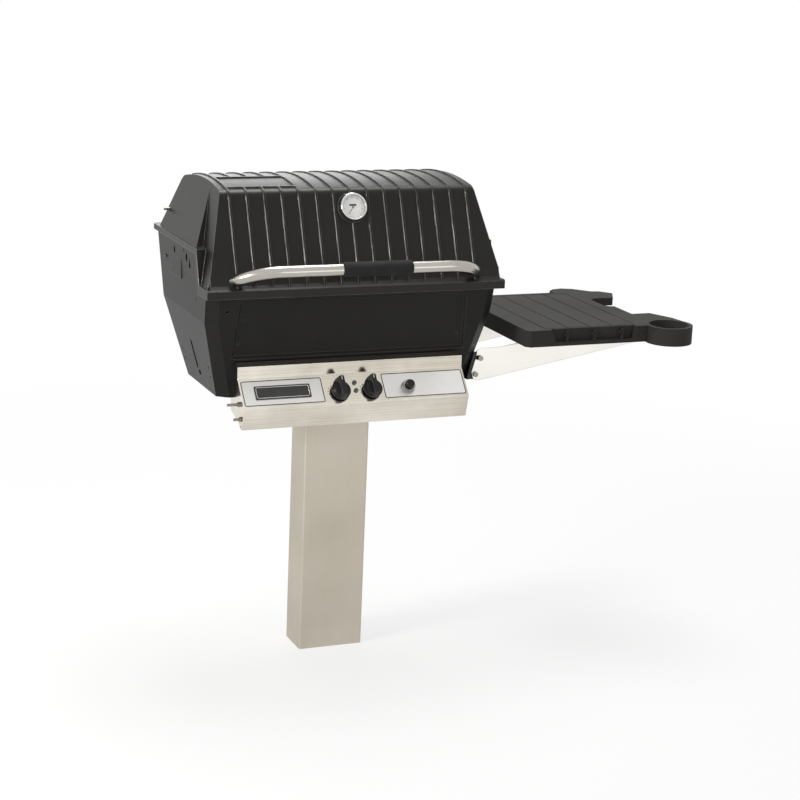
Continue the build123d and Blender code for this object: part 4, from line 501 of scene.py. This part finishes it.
# %% [markdown]
# The console's sloping face carries two pale printed fields in black frames with round corners. A frame
# is a profile as wide as the line carried round a rounded rectangle, a tenth of a millimetre proud of the
# sheet. A field is the same loop drawn in to its middle, and the fields stay blank.

# %% Printed frames on the console
FOLD, CHIN = np.array([25.2, -181.0]), np.array([-22.8, -236.0])
PRINT_SPANS = {"left": (-257, -76), "right": (66, 257)}
PRINT_TOP, PRINT_FOOT, PRINT_CORNER, PRINT_LINE = 8, 66, 3.5, 2.0
FIELD_LOW, FIELD_HIGH, INK_LOW, INK_HIGH = 0.01, 0.06, 0.02, 0.12
face_down = unit(CHIN - FOLD)
face_out = np.array([face_down[1], -face_down[0]])


def on_face(x, down, out):
    """Point on the console's sloping face: x, distance down from its top fold, height off the sheet."""
    x, down, out = np.broadcast_arrays(x, down, out)
    depth = FOLD[0] + down * face_down[0] + out * face_out[0]
    height = FOLD[1] + down * face_down[1] + out * face_out[1]
    return at(x, depth, height)


def rounded_loop(left, right, top, foot, radius, per_corner=7):
    """Points round a rounded rectangle and their outward normals."""
    turn = np.linspace(0, math.pi / 2, per_corner)
    angles = np.concatenate([turn + quarter * math.pi / 2 for quarter in range(4)])
    centre_x = np.repeat([right - radius, left + radius, left + radius, right - radius], per_corner)
    centre_y = np.repeat([foot - radius, foot - radius, top + radius, top + radius], per_corner)
    normal = np.stack([np.cos(angles), np.sin(angles)], axis=-1)
    return np.stack([centre_x, centre_y], axis=-1) + radius * normal, normal


def printed_frame(name, left, right):
    """Closed flat tube: the loop offset by half the line's width, at two heights off the sheet."""
    loop, normal = rounded_loop(left, right, PRINT_TOP, PRINT_FOOT, PRINT_CORNER)
    sides = [(-0.5, INK_LOW), (0.5, INK_LOW), (0.5, INK_HIGH), (-0.5, INK_HIGH)]
    rows = [on_face(*(loop + normal * PRINT_LINE * share).T, out) for share, out in sides]
    piece(name, [(np.stack(rows), True, True)], ink, "stand")


def printed_field(name, left, right):
    """Thin closed plate: loops at shares of the way from the middle to the edge, below and above."""
    loop, _ = rounded_loop(left, right, PRINT_TOP, PRINT_FOOT, PRINT_CORNER)
    middle = np.array([(left + right) / 2, (PRINT_TOP + PRINT_FOOT) / 2])
    sides = [(0.0, FIELD_LOW), (1.0, FIELD_LOW), (1.0, FIELD_HIGH), (0.0, FIELD_HIGH)]
    rows = [on_face(*(middle + (loop - middle) * share).T, out) for share, out in sides]
    piece(name, [(np.stack(rows), False, True)], label_foil, "stand")


for side, span in PRINT_SPANS.items():
    printed_field("print_field_" + side, *span)
for side, span in PRINT_SPANS.items():
    printed_frame("print_frame_" + side, *span)
print("printed fields and frames", list(PRINT_SPANS))

# %% [markdown]
# Round each knob a row of printed dots grows from small to large, to show the flame's size without words.
# A dot is a low dome: circles that shrink to a pole while they rise a tenth of a millimetre. All dots of
# one knob are a single piece. The pointer's tip carries a short white line.

# %% Knob marks
KNOB_X, KNOB_DOWN, GRIP_TOP = 37.0, 44.0, 28.0
DOTS, DOT_RING, DOT_SQUASH = 8, 27.5, 0.72
DOT_TURN, DOT_SIZE = (105, 245), (0.7, 1.35)
POINTER_HALF, POINTER_FROM, POINTER_TO, POINTER_THICK = 0.7, -23.0, -15.0, 0.1


def dot(x, down, radius, rise=0.1, around=16):
    """Low dome on the sheet: radius falls and height grows from the rim to the pole."""
    angle = np.linspace(0, 2 * math.pi, around, endpoint=False)
    reach = radius * np.array([1.0, 1.0, 0.7, 0.0])[:, None]
    lift = np.array([0.0, 0.7, 1.0, 1.0])[:, None]
    return on_face(x + reach * np.cos(angle), down + reach * np.sin(angle), INK_LOW + rise * lift)


def knob_dots(name, x):
    """Dots along an arc of a slightly flattened ring round a knob, each larger than the one before."""
    turn = np.radians(np.linspace(*DOT_TURN, DOTS))
    across = x + DOT_RING * np.cos(turn)
    down = KNOB_DOWN + DOT_RING * np.sin(turn) * DOT_SQUASH
    grids = [(dot(*spot), False, True) for spot in zip(across, down, np.linspace(*DOT_SIZE, DOTS))]
    piece(name, grids, ink, "stand")


def pointer_line(name, x, body):
    """Thin slab on the flat top of a knob's grip, at its upper end: two rings closed to their middles."""
    across = x + POINTER_HALF * np.array([-1, 1, 1, -1])
    down = KNOB_DOWN + np.array([POINTER_FROM, POINTER_FROM, POINTER_TO, POINTER_TO])
    middle = np.full(4, across.mean()), np.full(4, down.mean())
    low, high = GRIP_TOP + FIELD_LOW, GRIP_TOP + POINTER_THICK
    rings = [(*middle, low), (across, down, low), (across, down, high), (*middle, high)]
    points = np.stack([on_face(*ring) for ring in rings])
    piece(name, [(points, False, True)], dial_paint, body)


for way, side in ((-1, "left"), (1, "right")):
    knob_dots("knob_marks_" + side, way * KNOB_X)
    pointer_line("pointer_line_" + side, way * KNOB_X, side + "_knob")
print("dots per knob", DOTS)

# %% [markdown]
# The igniter's chrome collar has fine ridges round its lower half. A bump in the shader could suggest
# them, but the outline would stay smooth. The knurl is therefore a low ring round the collar whose radius
# ripples with the angle, so the ridges are real and catch the light one by one.

# %% Igniter knurl
IGNITER_X, IGNITER_DOWN, COLLAR_R, COLLAR_TAPER = 122.0, 44.0, 15.5, 8.0
RIDGES, RIDGE_RISE, KNURL_LOW, KNURL_HIGH = 40, 0.7, 1.0, 7.0
PER_RIDGE, KNURL_SINK = 6, 0.3


def knurl(name):
    """Closed ring: the collar's tapered radius plus a cosine ripple that fades out at both edges."""
    angle = np.linspace(0, 2 * math.pi, RIDGES * PER_RIDGE, endpoint=False)
    share = np.array([0.0, 0.15, 0.5, 0.85, 1.0])[:, None]
    height = KNURL_LOW + (KNURL_HIGH - KNURL_LOW) * share
    swell = RIDGE_RISE * np.sin(math.pi * share) ** 0.5 * (0.6 + 0.4 * np.cos(RIDGES * angle))
    radius = COLLAR_R - height * math.tan(math.radians(COLLAR_TAPER))

    def ring(reach, out):
        return on_face(IGNITER_X + reach * np.cos(angle), IGNITER_DOWN + reach * np.sin(angle), out)

    outer = ring(radius + swell, height)
    inner = ring(radius[::4] - KNURL_SINK, height[::4])
    piece(name, [(np.concatenate([outer, inner[::-1]]), True, True)], turned_chrome, "stand")


knurl("igniter_knurl")
print("ridges", RIDGES)

# %% [markdown]
# The badge on the left is a dark plate with a bright raised rim, left blank. The rim is a rounded profile
# carried round the edge of the plate's field, so it shows the highlight that a pressed metal edge has.

# %% Badge rim
BADGE_X, BADGE_DOWN = -167.5, 37.0
RIM_WIDE, RIM_TALL, RIM_CORNER = 119.0, 25.0, 3.0
BEAD_WIDTH, BEAD_RISE, BEAD_BASE, BEAD_FOOT = 1.5, 0.7, 1.9, 1.2


def badge_rim(name):
    """Half-round bead round a rounded rectangle, its foot sunk into the plate."""
    across = BADGE_X - RIM_WIDE / 2, BADGE_X + RIM_WIDE / 2
    down = BADGE_DOWN - RIM_TALL / 2, BADGE_DOWN + RIM_TALL / 2
    loop, normal = rounded_loop(*across, *down, RIM_CORNER)
    half = normal * BEAD_WIDTH / 2
    turn = np.linspace(0, math.pi, 9)
    rows = [on_face(*(loop + half * math.cos(a)).T, BEAD_BASE + BEAD_RISE * math.sin(a)) for a in turn]
    rows.append(on_face(*(loop - half).T, BEAD_FOOT))
    rows.append(on_face(*(loop + half).T, BEAD_FOOT))
    piece(name, [(np.stack(rows), True, True)], bright_plate, "stand")


badge_rim("badge_rim")
print("rim of", RIM_WIDE, "by", RIM_TALL, "mm round a blank plate")

# %% [markdown]
# The thermometer's dial has a printed scale: fine ticks along an arc, longer at every fifth, and a plain
# dark bar above the hub. Each tick is a thin slab on the dial's plane, turned about its centre.

# %% Thermometer scale
LID_LEAN = 70.0 / 169.0
FOOT_DEPTH, FOOT_HEIGHT, GAUGE_HEIGHT = 8.0, 46.0, 176.0
SEAT_PROUD, DIAL_RISE = 5.0, 4.0
TICKS, TICK_SWEEP, TICK_END = 41, 135, 23.5
LONG_TICK, SHORT_TICK = (18.5, 0.35), (21.0, 0.2)
BAR_HALF, BAR_FROM, BAR_TO = 8.2, 2.4, 6.4
DIAL_TOP = SEAT_PROUD + DIAL_RISE
gauge_out = unit([0.0, -1.0, LID_LEAN])
gauge_up = unit([0.0, LID_LEAN, 1.0])
gauge_centre = at(0.0, FOOT_DEPTH + LID_LEAN * (GAUGE_HEIGHT - FOOT_HEIGHT), GAUGE_HEIGHT)


def on_dial(x, y, out):
    """Point on the dial: x to the right, y up the dial, out from the lid's front, in millimetres."""
    x, y, out = np.broadcast_arrays(x, y, out)
    local = np.stack([x, y, out], axis=-1) / 1000.0
    return gauge_centre + local @ np.stack([[1.0, 0.0, 0.0], gauge_up, gauge_out])


def slab(x0, x1, y0, y1, turn, low, high):
    """Thin box on the dial, turned clockwise about the hub: two square rings and two closed ends."""
    x = np.array([x0, x1, x1, x0])
    y = np.array([y0, y0, y1, y1])
    c, s = math.cos(turn), math.sin(turn)
    px, py = x * c + y * s, y * c - x * s
    mid_x, mid_y = np.full(4, px.mean()), np.full(4, py.mean())
    rings = [(mid_x, mid_y, low), (px, py, low), (px, py, high), (mid_x, mid_y, high)]
    return np.stack([on_dial(*ring) for ring in rings]), False, True


ticks = []
for index, turn in enumerate(np.radians(np.linspace(-TICK_SWEEP, TICK_SWEEP, TICKS))):
    inner, half = SHORT_TICK if index % 5 else LONG_TICK
    ticks.append(slab(-half, half, inner, TICK_END, turn, DIAL_TOP + FIELD_LOW, DIAL_TOP + FIELD_HIGH))
piece("dial_ticks", ticks, grey_ink, "lid")
bar = slab(-BAR_HALF, BAR_HALF, BAR_FROM, BAR_TO, 0.0, DIAL_TOP + FIELD_LOW, DIAL_TOP + INK_HIGH)
piece("dial_bar", [bar], ink, "lid")
print("ticks", len(ticks))

# %% [markdown]
# The stage is a pale floor that melts into a white surround, like a roll of studio paper. Rays that are
# seen, straight or in a mirror, meet a floor that glows more the farther it is from the post, so no
# horizon shows. Near the post part of the plain matt floor shows through, and the grill throws a soft
# shade on it.

# %% Floor
FLOOR_REACH = 14.0
GLOW_NEAR, GLOW_FAR = (0.4, 0.72), (3.0, 1.0)
pale = bpy.data.materials.new("pale_floor")
pale.use_nodes = True
floor_tree = pale.node_tree
floor_shader = floor_tree.nodes["Principled BSDF"]
floor_shader.inputs["Base Color"].default_value = (0.85, 0.85, 0.85, 1)
floor_shader.inputs["Roughness"].default_value = 0.9


def seen_rays(tree):
    """One for camera, glossy and transmission rays, zero for the rays that carry light."""
    rays = tree.nodes.new("ShaderNodeLightPath")
    value = rays.outputs["Is Camera Ray"]
    for label in ("Is Glossy Ray", "Is Transmission Ray"):
        larger = tree.nodes.new("ShaderNodeMath")
        larger.operation = "MAXIMUM"
        tree.links.new(value, larger.inputs[0])
        tree.links.new(rays.outputs[label], larger.inputs[1])
        value = larger.outputs[0]
    return value


spot = floor_tree.nodes.new("ShaderNodeTexCoord")
distance = floor_tree.nodes.new("ShaderNodeVectorMath")
distance.operation = "LENGTH"
floor_tree.links.new(spot.outputs["Object"], distance.inputs[0])
fade = node_of(floor_tree, "MapRange", From_Min=GLOW_NEAR[0], From_Max=GLOW_FAR[0],
               To_Min=GLOW_NEAR[1], To_Max=GLOW_FAR[1])
fade.interpolation_type = "SMOOTHSTEP"
floor_tree.links.new(distance.outputs["Value"], fade.inputs["Value"])
share = floor_tree.nodes.new("ShaderNodeMath")
share.operation = "MULTIPLY"
floor_tree.links.new(fade.outputs["Result"], share.inputs[0])
floor_tree.links.new(seen_rays(floor_tree), share.inputs[1])
white = floor_tree.nodes.new("ShaderNodeEmission")
mixed = floor_tree.nodes.new("ShaderNodeMixShader")
floor_tree.links.new(share.outputs[0], mixed.inputs["Fac"])
floor_tree.links.new(floor_shader.outputs["BSDF"], mixed.inputs[1])
floor_tree.links.new(white.outputs["Emission"], mixed.inputs[2])
floor_tree.links.new(mixed.outputs["Shader"], floor_tree.nodes["Material Output"].inputs["Surface"])
floor_mesh = bpy.data.meshes.new("floor")
corners = [(x * FLOOR_REACH, y * FLOOR_REACH, 0) for x, y in ((-1, -1), (1, -1), (1, 1), (-1, 1))]
floor_mesh.from_pydata(corners, [], [(0, 1, 2, 3)])
floor_mesh.materials.append(pale)
floor = bpy.data.objects.new("floor", floor_mesh)
bpy.context.scene.collection.objects.link(floor)
print("floor reaches", FLOOR_REACH, "m")

# %% [markdown]
# Light comes from a soft lamp at the left, one above and one behind, in a white surround, as in a studio.
# A weak panel in front draws a second line of light along the handle. Lamps of some size give soft edges
# to the shadows, which lamps without size can't.

# %% Surround and lamps
SKY_LIGHT, SKY_SEEN = 0.4, 1.0
world = bpy.context.scene.world or bpy.data.worlds.new("studio")
bpy.context.scene.world = world
world.use_nodes = True
sky = world.node_tree
sky.nodes.clear()
surround = node_of(sky, "Background", Color=(1, 1, 1, 1))
level = node_of(sky, "MapRange", To_Min=SKY_LIGHT, To_Max=SKY_SEEN)
sky.links.new(seen_rays(sky), level.inputs["Value"])
sky.links.new(level.outputs["Result"], surround.inputs["Strength"])
output = sky.nodes.new("ShaderNodeOutputWorld")
sky.links.new(surround.outputs["Background"], output.inputs["Surface"])


def lamp(name, place, target, size, watts, colour=(1, 1, 1), tall=None):
    """Soft lamp aimed at a target: a disk, or a panel where its height is given."""
    data = bpy.data.lights.new(name, "AREA")
    data.shape = "RECTANGLE" if tall else "DISK"
    data.size = size
    data.size_y = tall or size
    data.energy = watts
    data.color = colour
    made = bpy.data.objects.new(name, data)
    made.location = place
    made.rotation_euler = (Vector(target) - Vector(place)).to_track_quat("-Z", "Y").to_euler()
    made.visible_camera = False
    bpy.context.scene.collection.objects.link(made)


lamp("key", place=(-3.4, -0.9, 1.8), target=(0, 0, 0.9), size=1.2, watts=100, colour=(1, 0.98, 0.94))
lamp("top", place=(0.4, 0.8, 3.6), target=(0, 0.1, 0.9), size=1.6, watts=70)
lamp("rear", place=(0.9, 3.4, 2.0), target=(0, 0, 1.0), size=1.4, watts=13)
lamp("front", place=(1.1, -3.0, 0.8), target=(0, -0.19, 0.8), size=1.8, watts=6, tall=0.9)
print("lamps", [light.name for light in bpy.data.lights])

# %% [markdown]
# The camera was fitted to the corners of the grill, so its place and lens are numbers and not guesses.
# Its axes follow from three angles: round the grill, up from the level, and a small roll. A camera that
# is only aimed at a point would leave the roll out.

# %% Camera
AZIMUTH, ELEVATION, ROLL = -23.0, 14.42, 2.42
CAMERA_AT = (-1.6011, -4.1673, 1.7257)
FOCAL_PIXELS, FRAME_PIXELS, SENSOR = 2050.0, 800.0, 36.0
azimuth, elevation, roll = (math.radians(v) for v in (AZIMUTH, ELEVATION, ROLL))
back = Vector((math.sin(azimuth) * math.cos(elevation), -math.cos(azimuth) * math.cos(elevation),
               math.sin(elevation)))
right = Vector((math.cos(azimuth), math.sin(azimuth), 0))
up = back.cross(right)
camera_x = right * math.cos(roll) + up * math.sin(roll)
camera_y = up * math.cos(roll) - right * math.sin(roll)
camera_data = bpy.data.cameras.new("camera")
camera_data.sensor_width = SENSOR
camera_data.lens = FOCAL_PIXELS * SENSOR / FRAME_PIXELS
camera = bpy.data.objects.new("camera", camera_data)
axes = zip(camera_x, camera_y, back, CAMERA_AT)
camera.matrix_world = Matrix((*axes, (0, 0, 0, 1)))
bpy.context.scene.collection.objects.link(camera)
bpy.context.scene.camera = camera
bpy.context.scene.view_settings.view_transform = "Standard"
print("lens", camera_data.lens, "mm")
